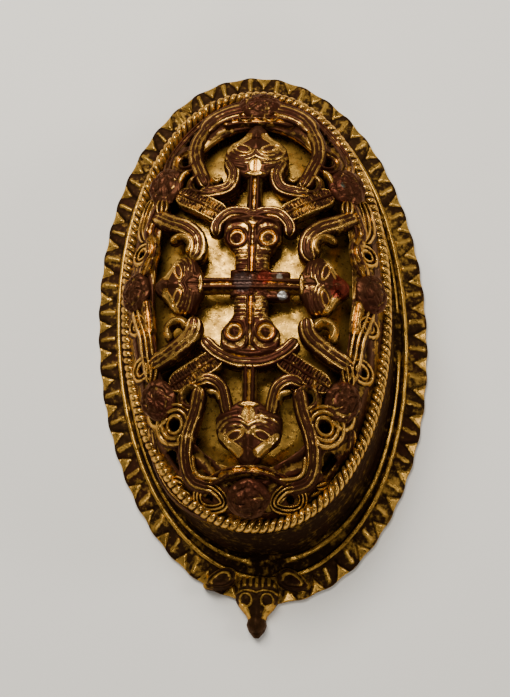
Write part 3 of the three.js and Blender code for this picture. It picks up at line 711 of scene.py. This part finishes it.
def animal_head(sheet, head, turn):
    """Head seen from above: nose ball, two gilt wedges below almond eyes, brow arcs and a crown."""
    widths = ((0, 0.08, 0.17, 0.25, 0.42, 0.58, 0.66, 0.74, 0.83, 0.92, 1),
              np.array((0.36, 0.6, 0.95, 1.08, 1.08, 1, 0.86, 0.62, 0.42, 0.32, 0.16))
              * head["half"])

    def shape(q, v):
        p = v * HEAD_PLAN_LENGTH
        a = np.abs(q)
        wedge = (line_distance(a, p, (5.4, 6.4), (1.9, 9.4))
                 - np.interp(p, (6.4, 9.4), (0.3, 0.85)))
        cut = 1 - smooth_step(-0.05, 0.25, wedge)
        eye = np.hypot((a - 2.7) / 1.6, (p - 6.5 - 0.3 * (a - 2.7)) / 0.85)
        inner = bump(eye, 1, 0.35)
        crown = 1 - smooth_step(0.85, 1, np.hypot(q / 1.35, (p - 2.5) / 1.7))
        slot = bump(q, 0, 0.3) * crown
        reach = np.hypot((a - 2.5) / 1.2, p - 6.6)
        arcs = (reach > 1.5) * (reach < 4) * (p < 6.2) * (1 - crown)
        arcs = arcs * (1 - waves(reach - 1.5, 0.83))
        lip = bump(line_distance(q, p, (-1.9, 0.7), (1.9, 0.7)) + 0.12 * q * q, 0.3, 0.45)
        brow = bump(p - 0.25 * a, 1.5, 0.8) * smooth_step(1.6, 2.2, a)
        ball = half_ball(q / 1.6, (p - 10.1) / 1.5)
        bridge = bump(q, 0, 1.1) * smooth_step(5.5, 7.5, p)
        ear = half_ball((a - 5.2) / 1.3, (p - 7.2) / 1.2)
        field = head["rise"] * (0.45 + 0.45 * np.sin(np.pi * np.clip(v * 0.95 + 0.05, 0, 1)))
        field = field * (1 - 0.4 * (q / head["half"]) ** 2)
        height = (field + 0.22 * arcs + 0.45 * bridge + 0.9 * ball + 0.4 * ear + 0.5 * lip
                  + 0.4 * brow - 0.4 * cut - 0.3 * inner - 0.2 * crown - 0.4 * slot)
        gilt_parts = 2.6 * cut + 1.4 * inner + head["crown"] * crown + 1.4 * lip + 0.5 * arcs
        return height, 0.9 - gilt_parts + 0.5 * slot + 0.1 * ball

    relief(sheet, head["nape"], head["nose"], turn, widths, shape)


def mask(sheet, turn):
    """Mask with ring eyes, a ridged nose, whisker ribs on its snout and a heavy brow."""
    widths = (0, 0.3, 0.4, 0.55, 0.85, 0.93, 1), (3.3, 3.35, 4.2, 5.7, 5.9, 6.6, 6.4)

    def shape(q, v):
        p = MASK["snout"] + (MASK["brow"] - MASK["snout"]) * v
        a = np.abs(q)
        eye = np.hypot(a - 3.05, p - 9.5)
        rings = bump(eye, 1.95, 0.5) + 0.9 * bump(eye, 0, 1)
        socket = bump(eye, 1.3, 0.5)
        nose = bump(a, 0.55, 0.42) * (p < 12.4)
        groove = bump(q, 0, 0.3) * (p < 12.4)
        whiskers = waves(p, 0.78) * smooth_step(0.85, 1.1, a) * (p < 7)
        orbit = bump(np.hypot(a - 2.9, (p - 9.7) * 0.85), 3, 0.45) * (p > 8)
        brow = bump(p + 0.06 * a ** 1.6, 13.9, 0.9)
        height = (MASK["rise"] * (1 - 0.35 * (q / MASK["half"]) ** 2) + 0.55 * rings
                  - 0.35 * socket + 0.5 * nose - 0.3 * groove
                  + 0.28 * whiskers + 0.35 * orbit + 0.75 * brow)
        wear = (0.42 + 0.6 * rings - 0.5 * socket + 0.4 * nose - 0.5 * groove
                + 0.3 * whiskers + 0.5 * orbit + 0.6 * brow)
        return height, wear

    relief(sheet, MASK["snout"], MASK["brow"], turn, widths, shape)


# Strapwork in the open middle
def circle(x, y, radius, start=0, end=360):
    """Points on a circle, or on a part of it between two angles in degrees."""
    turn = np.radians(np.linspace(start, end, 72, endpoint=abs(end - start) < 360))
    return np.stack([x + radius * np.cos(turn), y + radius * np.sin(turn)], -1)


def quarter(sheet, sx, sy):
    """The limbs, rings, curls and arm of one quarter of the openwork."""
    flip = np.array([sx, 1])
    limbs, rings, curls = ((NORTH_LIMBS, NORTH_RINGS, NORTH_CURLS) if sy > 0
                           else (SOUTH_LIMBS, SOUTH_RINGS, SOUTH_CURLS))
    for half, ribs, wear, points in limbs:
        if points[-1][0] == 0:
            if sx < 0:
                continue
            points = points + tuple((-x, y) for x, y in points[-2::-1])
        path = spaced(np.array(points) * flip, PATH_STEP)
        if ribs:
            strap(sheet, path, half, ribbed(ribs, STRAND_RISE + 0.1), lift=0.15,
                  columns=4 * ribs + 9, **rib_looks(ribs, wear, 0.3))
        else:
            strap(sheet, path, half, lined(STRAND_RISE + 0.25 * half), lined_wear(wear), columns=23)
    for x, y, radius, half, ribs, wear in rings:
        strap(sheet, circle(x, y, radius) * flip, half, ribbed(ribs, STRAND_RISE + 0.3),
              closed=True, **rib_looks(ribs, wear, 0.2))
    for x, y, radius, half, start, end in curls:
        strap(sheet, circle(x, y, radius, start, end) * flip, half, ribbed(1, STRAND_RISE + 0.3),
              ribbed_wear(1, 0.5, -0.4), columns=21)
    if sy < 0:
        almond(sheet, flip)
    arm(sheet, np.array([sx, sy]))


def almond(sheet, flip):
    """A teardrop ring with a double outline beside the end boss."""
    x, y, long, broad, lean = ALMOND
    turn = full_turn(72)
    px, py = rotated(long * np.cos(turn), broad * np.sin(turn) * (1 + 0.25 * np.cos(turn)),
                     math.radians(-lean))
    strap(sheet, np.stack([x + px, y + py], -1) * flip, 1.05, ribbed(3, STRAND_RISE + 0.3),
          ribbed_wear(3, 0.85, -0.1), closed=True, dirt_and_shade=groove_dirt_and_shade(3))


def arm(sheet, flip):
    """A diagonal arm with a centre ridge, rails and two rows of notches."""
    def rows(u):
        return smooth_step(0.16, 0.28, np.abs(u)) * (1 - smooth_step(0.72, 0.82, np.abs(u)))

    def notches(u, s):
        return rows(u) * waves(s, NOTCH_PITCH)

    def rails(u):
        return bump(np.abs(u), 0.88, 0.14)

    def height(u, s):
        return 0.55 + 0.75 * bump(u, 0, 0.2) + 0.5 * notches(u, s) + 0.5 * rails(u)

    def wear(u, s):
        return 0.55 + 0.3 * bump(u, 0, 0.2) + 0.25 * notches(u, s) - 0.5 * rails(u)

    # Painted shade in the hollows between the raised notches, along their two rows
    def dirt_and_shade(u, s):
        return rows(u) * (0.85 - 0.85 * notches(u, s))

    strap(sheet, spaced(np.array(ARM_POINTS) * flip, 0.11), ARM_WIDTH / 2, height, wear,
          columns=33, dirt_and_shade=dirt_and_shade)


def cross(sheet):
    """The double-ridged bar between the side heads, and the shafts out to the end heads."""
    reach = SIDE_HEAD["nape"] + BAR_OVERLAP
    lines = [((-reach, 0), (0, 0), (reach, 0))]
    for sign in (-1, 1):
        start = sign * (MASK["brow"] - SHAFT_OVERLAPS[0])
        end = sign * (END_HEAD["nape"] + SHAFT_OVERLAPS[1])
        lines.append(((0, start), (0, (start + end) / 2), (0, end)))
    for line in lines:
        strap(sheet, spaced(line, 0.4), BAR_WIDTH / 2, ribbed(2, STRAND_RISE + 0.2),
              ribbed_wear(2, 0.2, 1.15))


def upper_shell(material):
    band = Sheet()
    pierced_band(band)
    band_rail(band)
    rope_border(band)
    collars(band)
    band.build("openwork_band", material, "upper_shell")
    for sy, name in ((1, "openwork_straps_plain_end"), (-1, "openwork_straps_head_end")):
        straps = Sheet()
        quarter(straps, -1, sy)
        quarter(straps, 1, sy)
        if sy > 0:
            cross(straps)
        straps.build(name, material, "upper_shell")
    raised = Sheet()
    bosses(raised)
    for block_size in CENTRE_BLOCKS:
        centre_block(raised, *block_size)
    mask(raised, 0)
    mask(raised, math.pi)
    for turn in (0, math.pi):
        animal_head(raised, END_HEAD, turn)
        animal_head(raised, SIDE_HEAD, turn + math.pi / 2)
    raised.build("bosses_masks_heads", material, "upper_shell")


# Lower shell
def chip_carving(u, s):
    """Flange pattern: a rib at u = 0, a bright facet by the edge at u = 1, grooves between."""
    reach = np.clip(s / CARVED_SHARE, 0, 1)
    groove_at = 0.46 + 0.54 * np.clip(reach / 0.72, 0, 1)
    groove = np.clip(1 - np.abs(u - groove_at) / 0.16, 0, 1)
    facet = np.clip((u - groove_at) / 0.16, 0, 1)
    fade = 1 - smooth_step(0.88, 1, reach)
    edge_facet = facet * (1 - smooth_step(0.6, 0.85, reach))
    rib = bump(u, 0, 0.26) * smooth_step(0.05, 0.25, reach)
    height = (0.4 * rib - 0.42 * groove + 0.5 * facet * (reach - 0.25)) * fade
    return height, groove * fade, edge_facet, rib * fade


def towards_terminal(turn, low, high):
    """0 where the sine of the way to the terminal is under low, 1 where it is over high."""
    return smooth_step(low, high, -np.sin(turn))


def flange(material):
    """The fluted flange with its wavy edge, and the raised line inside the carving."""
    turn = full_turn(FLUTE_COUNT * 24)
    outline = flange_oval(np.append(turn, 2 * np.pi))
    run = run_along(*outline)
    u = np.abs((run[:-1] / run[-1] * 2 * FLUTE_COUNT + 1) % 2 - 1)
    x, y = outline[0][:-1], outline[1][:-1]
    uneven, patchy = 0.05 * rolling(x, y, 2, 8), 0.25 * rolling(x, y, 4, 12)
    line_at = 0.84 + 0.07 * towards_terminal(turn, 0.6, 1)
    away = 1 - towards_terminal(turn, 0.985, 0.996)
    wave = EDGE_WAVE * np.cos(np.pi * u)
    rings = Rings()

    def ring(inset, z, wear=BACK_WEAR, dirt_and_shade=0.7, wave=0):
        x, y = flange_oval(turn, SCALLOP - EDGE_WAVE + inset - wave)
        rings.add(x, y, np.maximum(z, 0), wear, dirt_and_shade)

    ring(0, 0, wave=wave)
    ring(0, 0.3, 0.2, 0.3, wave)
    for s in np.linspace(0, 1, 44):
        height, groove, facet, rib = chip_carving(u, s)
        line = broad_bump(s, line_at, 0.085) * away
        height = height * (0.35 + 0.65 * min(s / 0.1, 1)) + uneven
        z = FLANGE_EDGE + (FLANGE_FOOT - FLANGE_EDGE) * (s ** 0.75)
        # Painted shade: the grooves, the inner edge by the wall (s > 0.8) and the whole flange
        # somewhat are darkened; facets, ribs and raised line stay clean and gilt, the line partly
        # as a painted highlight
        wear = 0.85 - 1.5 * facet - 0.75 * rib - 1.3 * line + patchy
        dirt_and_shade = 0.6 + 0.7 * groove + 0.3 * (s > 0.8) - 1.2 * facet - 0.6 * rib - 1.4 * line
        ring(s * FLANGE_WIDTH + 0.05, z + (height + LINE_RISE * line), wear, dirt_and_shade, wave * (1 - s))
    ring(FLANGE_WIDTH, FLANGE_FOOT - 0.05)
    ring(WALL_FOOT_INSET, FLANGE_FOOT)
    ring(FLANGE_WIDTH, 0)
    sheet = Sheet()
    sheet.rings(*rings.stacked(), closed=True)
    sheet.build("chip_carved_flange", material, "lower_shell")


def wall_and_plateau(material):
    """The ledge with its raised line, the steep wall, the plateau, and the hollow under them."""
    seat = BORDER_HEIGHT - ROPE_RADIUS - SEAT_GAP
    turn = full_turn(640)
    away = 1 - towards_terminal(turn, 0.985, 0.996)
    broken = smooth_step(0.06, 0.14, np.abs(np.sin(turn + 0.04)))
    line_at = 0.2 + 0.22 * towards_terminal(turn, 0.6, 1)
    line_half = 0.14 - 0.05 * smooth_step(0.5, 1, np.abs(np.sin(turn)))
    foot_a, foot_b = FLANGE_HALF_WIDTH - SCALLOP, FLANGE_HALF_LENGTH - SCALLOP
    # How far the wall's top lies inside the flange's outline
    across = foot_a - BORDER_HALF_WIDTH - ROPE_RADIUS * 0.6
    along = foot_b - BORDER_HALF_LENGTH - ROPE_RADIUS * 0.6
    rings = Rings()
    for share in np.concatenate([np.linspace(0, LEDGE_SHARE, 40), np.linspace(0.64, 1, 22)]):
        x, y = oval(foot_a - (FLANGE_WIDTH + (across - FLANGE_WIDTH) * share),
                    foot_b - (FLANGE_WIDTH + (along - FLANGE_WIDTH) * share),
                    FLANGE_POWER + (BORDER_POWER - FLANGE_POWER) * share,
                    FLANGE_SKEW + (BORDER_SKEW - FLANGE_SKEW) * share, turn)
        line = broad_bump(share, line_at, line_half) * away * broken
        steep = np.clip((share - LEDGE_SHARE) / (1 - LEDGE_SHARE), 0, 1)
        z = FLANGE_FOOT + LEDGE_RISE * share + (seat - FLANGE_FOOT - LEDGE_RISE) * steep ** 0.9
        faint = (0.16 * (rolling(x, y, 0.8, 9) + rolling(x, y, 0.5, 14))
                 * np.clip(1.6 - abs(share - 0.6) * 4, 0, 1))
        # The ledge and the wall are darkened all over, except on the raised line: the high dirt
        # value is painted shade, and the worn brown is partly painted shade too
        rings.add(x, y, z + LINE_RISE * line + faint, 0.85 - 1.4 * line, 0.95 - 1.5 * line)

    def plateau(share, inset=0):
        a = BORDER_HALF_WIDTH - UPPER_THICKNESS - PLATEAU_GAP_ACROSS - inset
        b = BORDER_HALF_LENGTH - UPPER_THICKNESS - PLATEAU_GAP_ALONG - inset
        x, y = oval(a * share, b * share, BORDER_POWER, BORDER_SKEW * share, turn)
        if share > 0.999:
            return x, y, seat - inset + 0 * x
        return x, y, dome(a, b, seat - inset, PLATEAU_TOP - inset, x, y, PLATEAU_FULLNESS)

    for share in np.concatenate([[1], np.linspace(0.985, 0.02, 56)]):
        x, y, z = plateau(share)
        pits = 0.09 * rolling(x, y, 1.1, 5) + 0.05 * rolling(x, y, 0.45, 6)
        side = smooth_step(11, 17, np.abs(x)) * (0.7 + 0.3 * rolling(x, y, 1.5, 15))
        # Browner and darker towards the sides; next to the wall's foot (share > 0.93) darkened with
        # painted shade
        rings.add(x, y, z + pits * (share < 0.97), -0.1 + 0.45 * side,
                  0.05 + 0.45 * np.maximum(side, share > 0.93))
    pole = len(rings.parts[0])
    for share in np.concatenate([np.linspace(0.02, 0.985, 14), [1]]):
        rings.add(*plateau(share, WALL), BACK_WEAR, BACK_DIRT)
    rings.add(*border_oval(turn, WALL), seat - 2 * WALL, BACK_WEAR, BACK_DIRT)
    rings.add(*flange_oval(turn, WALL_FOOT_INSET), FLANGE_FOOT, BACK_WEAR, BACK_DIRT)
    sheet = Sheet()
    # From the plateau's pole below, round under the wall and up to its pole above, each capped
    sheet.rings(*rings.stacked(pole))
    pin_fittings(sheet)
    sheet.build("gilt_wall_and_plateau", material, "lower_shell")


def block(sheet, low, high):
    """A plain block with slightly soft edges."""
    (x0, y0, z0), (x1, y1, z1) = low, high
    soft = 0.15
    rings = []
    for z, inset in ((z0, soft), (z0 + soft, 0), (z1 - soft, 0), (z1, soft)):
        rings.append([(x0 + inset, y0 + inset, z), (x1 - inset, y0 + inset, z),
                      (x1 - inset, y1 - inset, z), (x0 + inset, y1 - inset, z)])
    sheet.rings(np.array(rings, float), BACK_WEAR, BACK_DIRT)


def pin_fittings(sheet):
    """Two lugs for the lost pin's hinge and a catch plate for its point."""
    along, gap, thick, width, foot = LUGS.values()
    top = float(dome(*ROOF, 0, along + width / 2)) + ROOF_OVERLAP
    t = full_turn(40)
    square = np.maximum(np.abs(np.cos(t)), np.abs(np.sin(t)))
    outer = (along + np.cos(t) / square * width / 2,
             (top + foot) / 2 + np.sin(t) / square * (top - foot) / 2)
    bore = (along + np.cos(t), foot + width / 3 + np.sin(t))
    for side in (-1, 1):
        middle = side * (gap + thick) / 2
        loops = [np.stack([middle + x + 0 * t, *loop], -1) for x, loop in (
            (-thick / 2, outer), (thick / 2, outer), (thick / 2, bore), (-thick / 2, bore))]
        sheet.rings(np.stack(loops), BACK_WEAR, BACK_DIRT, closed=True)
    along, thick, width, foot, hook = CATCH.values()
    near, far = along - width / 2, along + width / 2
    top = float(dome(*ROOF, 0, near)) + ROOF_OVERLAP
    block(sheet, (-thick / 2, near, foot), (thick / 2, far, top))
    block(sheet, (0.1 - thick / 2, near + 0.1, foot + 0.1), (hook - thick, far - 0.1, foot + thick))
    block(sheet, (hook - thick * 1.5, near, foot), (hook - thick / 2, far, foot + thick * 1.6))


def terminal(sheet):
    """The animal head outside the flange: ribs, brows, ringed eyes, gilt cheeks, a ball nose."""
    start = FLANGE_HALF_LENGTH - FLANGE_WIDTH
    v = np.linspace(0, 1, 110)[:, None]
    u = np.linspace(-1, 1, 81)[None, :]
    stations = (0, 0.1, 0.25, 0.4, 0.52, 0.62, 0.7, 0.78, 0.88, 0.95, 1)
    widths = (3.5, 4.4, 4.7, 4.3, 3.3, 2.2, 1.85, 2.1, 1.65, 1, 0.4)
    q = u * np.interp(v, stations, widths)
    p = v * (TERMINAL_TIP - start)
    a = np.abs(q)
    edge = falling(u, 4)
    rise = np.interp(v, (0, 0.12, 0.3, 0.5, 0.66, 0.88, 1), (3.5, 4.3, 4.7, 3.6, 2.7, 2.6, 1.5))
    eye = np.hypot((a - 2.2) / 0.95, p - 4.6)
    rim = bump(eye, 1.3, 0.4)
    brow = bump(np.hypot((a - 2) / 1.3, p - 5.2), 2.6, 0.45) * (p < 4.6)
    ball = half_ball(q / 2.1, (p - 9.3) / 1.75)
    ribs = waves(q, 1.25) * (1 - smooth_step(0.12, 0.2, v))
    ridge = bump(q, 0, 1) * smooth_step(0.3, 0.5, v)
    z = (rise * edge + 0.45 * (rim + half_ball(eye / 0.95)) + 0.45 * ribs + 0.4 * brow
         + 0.35 * ridge * edge + 1.3 * ball)
    cheek = (smooth_step(0.45, 0.7, np.abs(u)) * smooth_step(0.42, 0.5, v)
             * (1 - smooth_step(0.66, 0.72, v)))
    wear = 1 + 0.2 * ridge + 0.3 * ball - 0.9 * ribs - 0.6 * rim - 0.6 * brow - 1.5 * cheek
    sheet.slab(q + TERMINAL_SHIFT, -(start + p), np.maximum(z, 0.35), 0.08,
               wear, 0.45 - 0.45 * cheek, BACK_WEAR, 0.45)
    for side in (-1, 1):
        lobe(sheet, side * LOBE_ACROSS + LOBE_SHIFT, -start - 0.3, side)


def lobe(sheet, x, y, side):
    """A curled lobe beside the terminal: an almond with a raised outline."""
    t = full_turn(48)
    r = np.linspace(0.02, 1, 22)[:, None]
    px, py = rotated(r * 3.9 * np.cos(t), r * 2.2 * np.sin(t) * (1 - 0.3 * np.cos(t) * side),
                     -side * 0.35)
    gx, gy = x + px, y + py
    top = (FLANGE_FOOT + 0.5 + 0.5 * bump(r, 0.75, 0.25) - 1.6 * smooth_step(0.86, 1, r)
           + 0.35 * bump(r, 0, 0.35))
    upper = np.stack([gx, gy, top + 0 * gx], -1)
    lower = np.stack([gx[::-1], gy[::-1], 0.5 + 0 * gx], -1)
    bright = (bump(r, 0.52, 0.14) + bump(r, 0.9, 0.14)) * (0.5 + 0.5 * np.sin(t))
    sheet.rings(np.concatenate([upper, lower]),
                np.concatenate([0.95 - 1.3 * bright, 0.8 + 0 * gx]), 0.6)


def lower_shell(material):
    flange(material)
    wall_and_plateau(material)
    head = Sheet()
    terminal(head)
    head.build("terminal_head", material, "lower_shell")


# Materials
def shade(color, factor):
    return tuple(factor * c for c in color)


def gilt(name, gold, tarnish, bare, bias, softness, satin, mottle, spots=()):
    """Gilding that is bright in the recesses and worn to bare metal where wear is high, and
    darkened by dirt and painted shade.
    """
    material = bpy.data.materials.new(name)
    material.use_nodes = True
    tree = material.node_tree
    link = tree.links.new
    shader = tree.nodes["Principled BSDF"]

    def node(kind, **values):
        made = tree.nodes.new(kind)
        for key, value in values.items():
            setattr(made, key, value)
        return made

    def noise(scale, detail):
        made = node("ShaderNodeTexNoise")
        for key, value in (("Scale", scale), ("Detail", detail), ("Roughness", 0.6)):
            made.inputs[key].default_value = value
        link(place.outputs["Object"], made.inputs["Vector"])
        return made.outputs["Fac"]

    def calculated(operation, a, b, clamp=False):
        made = node("ShaderNodeMath", operation=operation, use_clamp=clamp)
        for socket, value in zip(made.inputs, (a, b)):
            if isinstance(value, (int, float)):
                socket.default_value = value
            else:
                link(value, socket)
        return made.outputs[0]

    def plus(a, b, clamp=False):
        return calculated("ADD", a, b, clamp)

    def times(a, b):
        return calculated("MULTIPLY", a, b)

    def minus(a, b):
        return calculated("SUBTRACT", a, b)

    def ramp(value, low, high):
        made = node("ShaderNodeMapRange", interpolation_type="SMOOTHSTEP")
        made.inputs["From Min"].default_value = low
        made.inputs["From Max"].default_value = high
        link(value, made.inputs["Value"])
        return made.outputs["Result"]

    def mix(share, a, b):
        made = node("ShaderNodeMix", data_type="RGBA")
        link(share, made.inputs["Factor"])
        for key, value in (("A", a), ("B", b)):
            socket = [s for s in made.inputs if s.name == key and s.type == "RGBA"][0]
            if isinstance(value, tuple):
                socket.default_value = (*value, 1)
            else:
                link(value, socket)
        return [s for s in made.outputs if s.type == "RGBA"][0]

    place = node("ShaderNodeTexCoord")
    wear = node("ShaderNodeAttribute", attribute_name="wear").outputs["Fac"]
    deep = node("ShaderNodeAttribute", attribute_name="depth").outputs["Fac"]
    broad, fine, grain = noise(180, 4), noise(900, 5), noise(3200, 3)
    worn = plus(wear, times(minus(broad, 0.5), mottle[0]))
    worn = plus(worn, times(minus(fine, 0.5), mottle[1]))
    worn = ramp(worn, bias - softness, bias + softness)
    # The depth value with noise darkens the gilding and the bare metal, as dirt and as painted
    # shade in grooves, hollows and gaps
    dirt_and_shade = plus(deep, times(minus(fine, 0.45), 1.1), True)
    dull = ramp(noise(420, 4), 0.42, 0.66)
    specks = ramp(noise(1100, 2), 0.6, 0.66)
    tone = mix(times(dull, 0.55), gold, tarnish)
    tone = mix(times(specks, 0.75), tone, shade(tarnish, 0.3))
    tone = mix(times(dirt_and_shade, 0.8), tone, shade(tarnish, 0.35))
    metal = mix(fine, shade(bare, 1.7), shade(bare, 0.5))
    metal = mix(times(ramp(noise(95, 3), 0.5, 0.62), 0.6), metal, RED_CORROSION)
    metal = mix(times(dirt_and_shade, 0.75), metal, GRIME_AND_SHADE)
    tone = mix(worn, tone, metal)
    for x, y, z, radius, color in spots:
        away = node("ShaderNodeVectorMath", operation="DISTANCE")
        link(place.outputs["Object"], away.inputs[0])
        away.inputs[1].default_value = (x * MM, (y + SHIFT_Y) * MM, z * MM)
        ragged = plus(away.outputs["Value"], times(minus(fine, 0.5), 1.6 * radius * MM))
        tone = mix(ramp(ragged, radius * MM * 1.1, radius * MM * 0.8), tone, color)
    link(tone, shader.inputs["Base Color"])
    rough = plus(plus(times(worn, 0.14), times(dirt_and_shade, 0.25)), satin)
    link(plus(rough, times(fine, 0.42)), shader.inputs["Roughness"])
    link(minus(0.8, times(worn, 0.2)), shader.inputs["Metallic"])
    shader.inputs["Specular IOR Level"].default_value = 0.1
    shader.inputs["Specular Tint"].default_value = (0.8, 0.55, 0.35, 1)
    pitted = node("ShaderNodeBump")
    pitted.inputs["Strength"].default_value = 0.35
    pitted.inputs["Distance"].default_value = 0.25 * MM
    link(plus(times(fine, 0.6), times(grain, 0.4)), pitted.inputs["Height"])
    link(pitted.outputs["Normal"], shader.inputs["Normal"])
    return material


# Camera, lights and floor
def camera():
    azimuth, elevation = math.radians(CAMERA["azimuth"]), math.radians(CAMERA["elevation"])
    back = Vector((math.sin(azimuth) * math.cos(elevation),
                   -math.cos(azimuth) * math.cos(elevation), math.sin(elevation)))
    right = (-back).cross(Vector((0, 1, 0))).normalized()
    up = right.cross(-back)
    roll = math.radians(CAMERA["roll"])
    side = right * math.cos(roll) + up * math.sin(roll)
    rise = up * math.cos(roll) - right * math.sin(roll)
    place = Vector(CAMERA["target"]) + back * CAMERA["distance"]
    place.y += SHIFT_Y
    data = bpy.data.cameras.new("camera")
    data.sensor_fit = "AUTO"
    data.sensor_width = SENSOR
    data.lens = CAMERA["focal"] / IMAGE_LONG * SENSOR
    data.clip_start = 0.01
    view = placed("camera", data)
    matrix = Matrix((side, rise, back)).transposed().to_4x4()
    matrix.translation = place * MM
    view.matrix_world = matrix
    bpy.context.scene.camera = view


def studio():
    """A pale floor, a dim warm world and three soft lamps."""
    mesh = bpy.data.meshes.new("floor")
    corners = [(sx * FLOOR_REACH, sy * FLOOR_REACH, 0)
               for sx, sy in ((-1, -1), (1, -1), (1, 1), (-1, 1))]
    mesh.from_pydata(corners, [], [(0, 1, 2, 3)])
    material = bpy.data.materials.new("pale_floor")
    material.use_nodes = True
    shader = material.node_tree.nodes["Principled BSDF"]
    shader.inputs["Base Color"].default_value = FLOOR_COLOR
    shader.inputs["Roughness"].default_value = FLOOR_ROUGHNESS
    mesh.materials.append(material)
    floor = placed("floor", mesh)
    floor.location.z = -FLOOR_DROP
    world = bpy.data.worlds.new("studio")
    world.use_nodes = True
    background = world.node_tree.nodes["Background"]
    background.inputs["Color"].default_value = WORLD_COLOR
    background.inputs["Strength"].default_value = WORLD_STRENGTH
    bpy.context.scene.world = world
    for name, (place, size, power, color) in LIGHTS.items():
        data = bpy.data.lights.new(name, "AREA")
        data.size = size
        data.energy = power
        data.color = color
        lamp = placed(name, data)
        lamp.location = place
        towards = Vector(LIGHT_TARGET) - Vector(place)
        lamp.rotation_euler = towards.to_track_quat("-Z", "Y").to_euler()


camera()
studio()
lower_shell(gilt("gilding", **GILDING))
upper_shell(gilt("worn_gilding", **WORN_GILDING, spots=SPOTS))
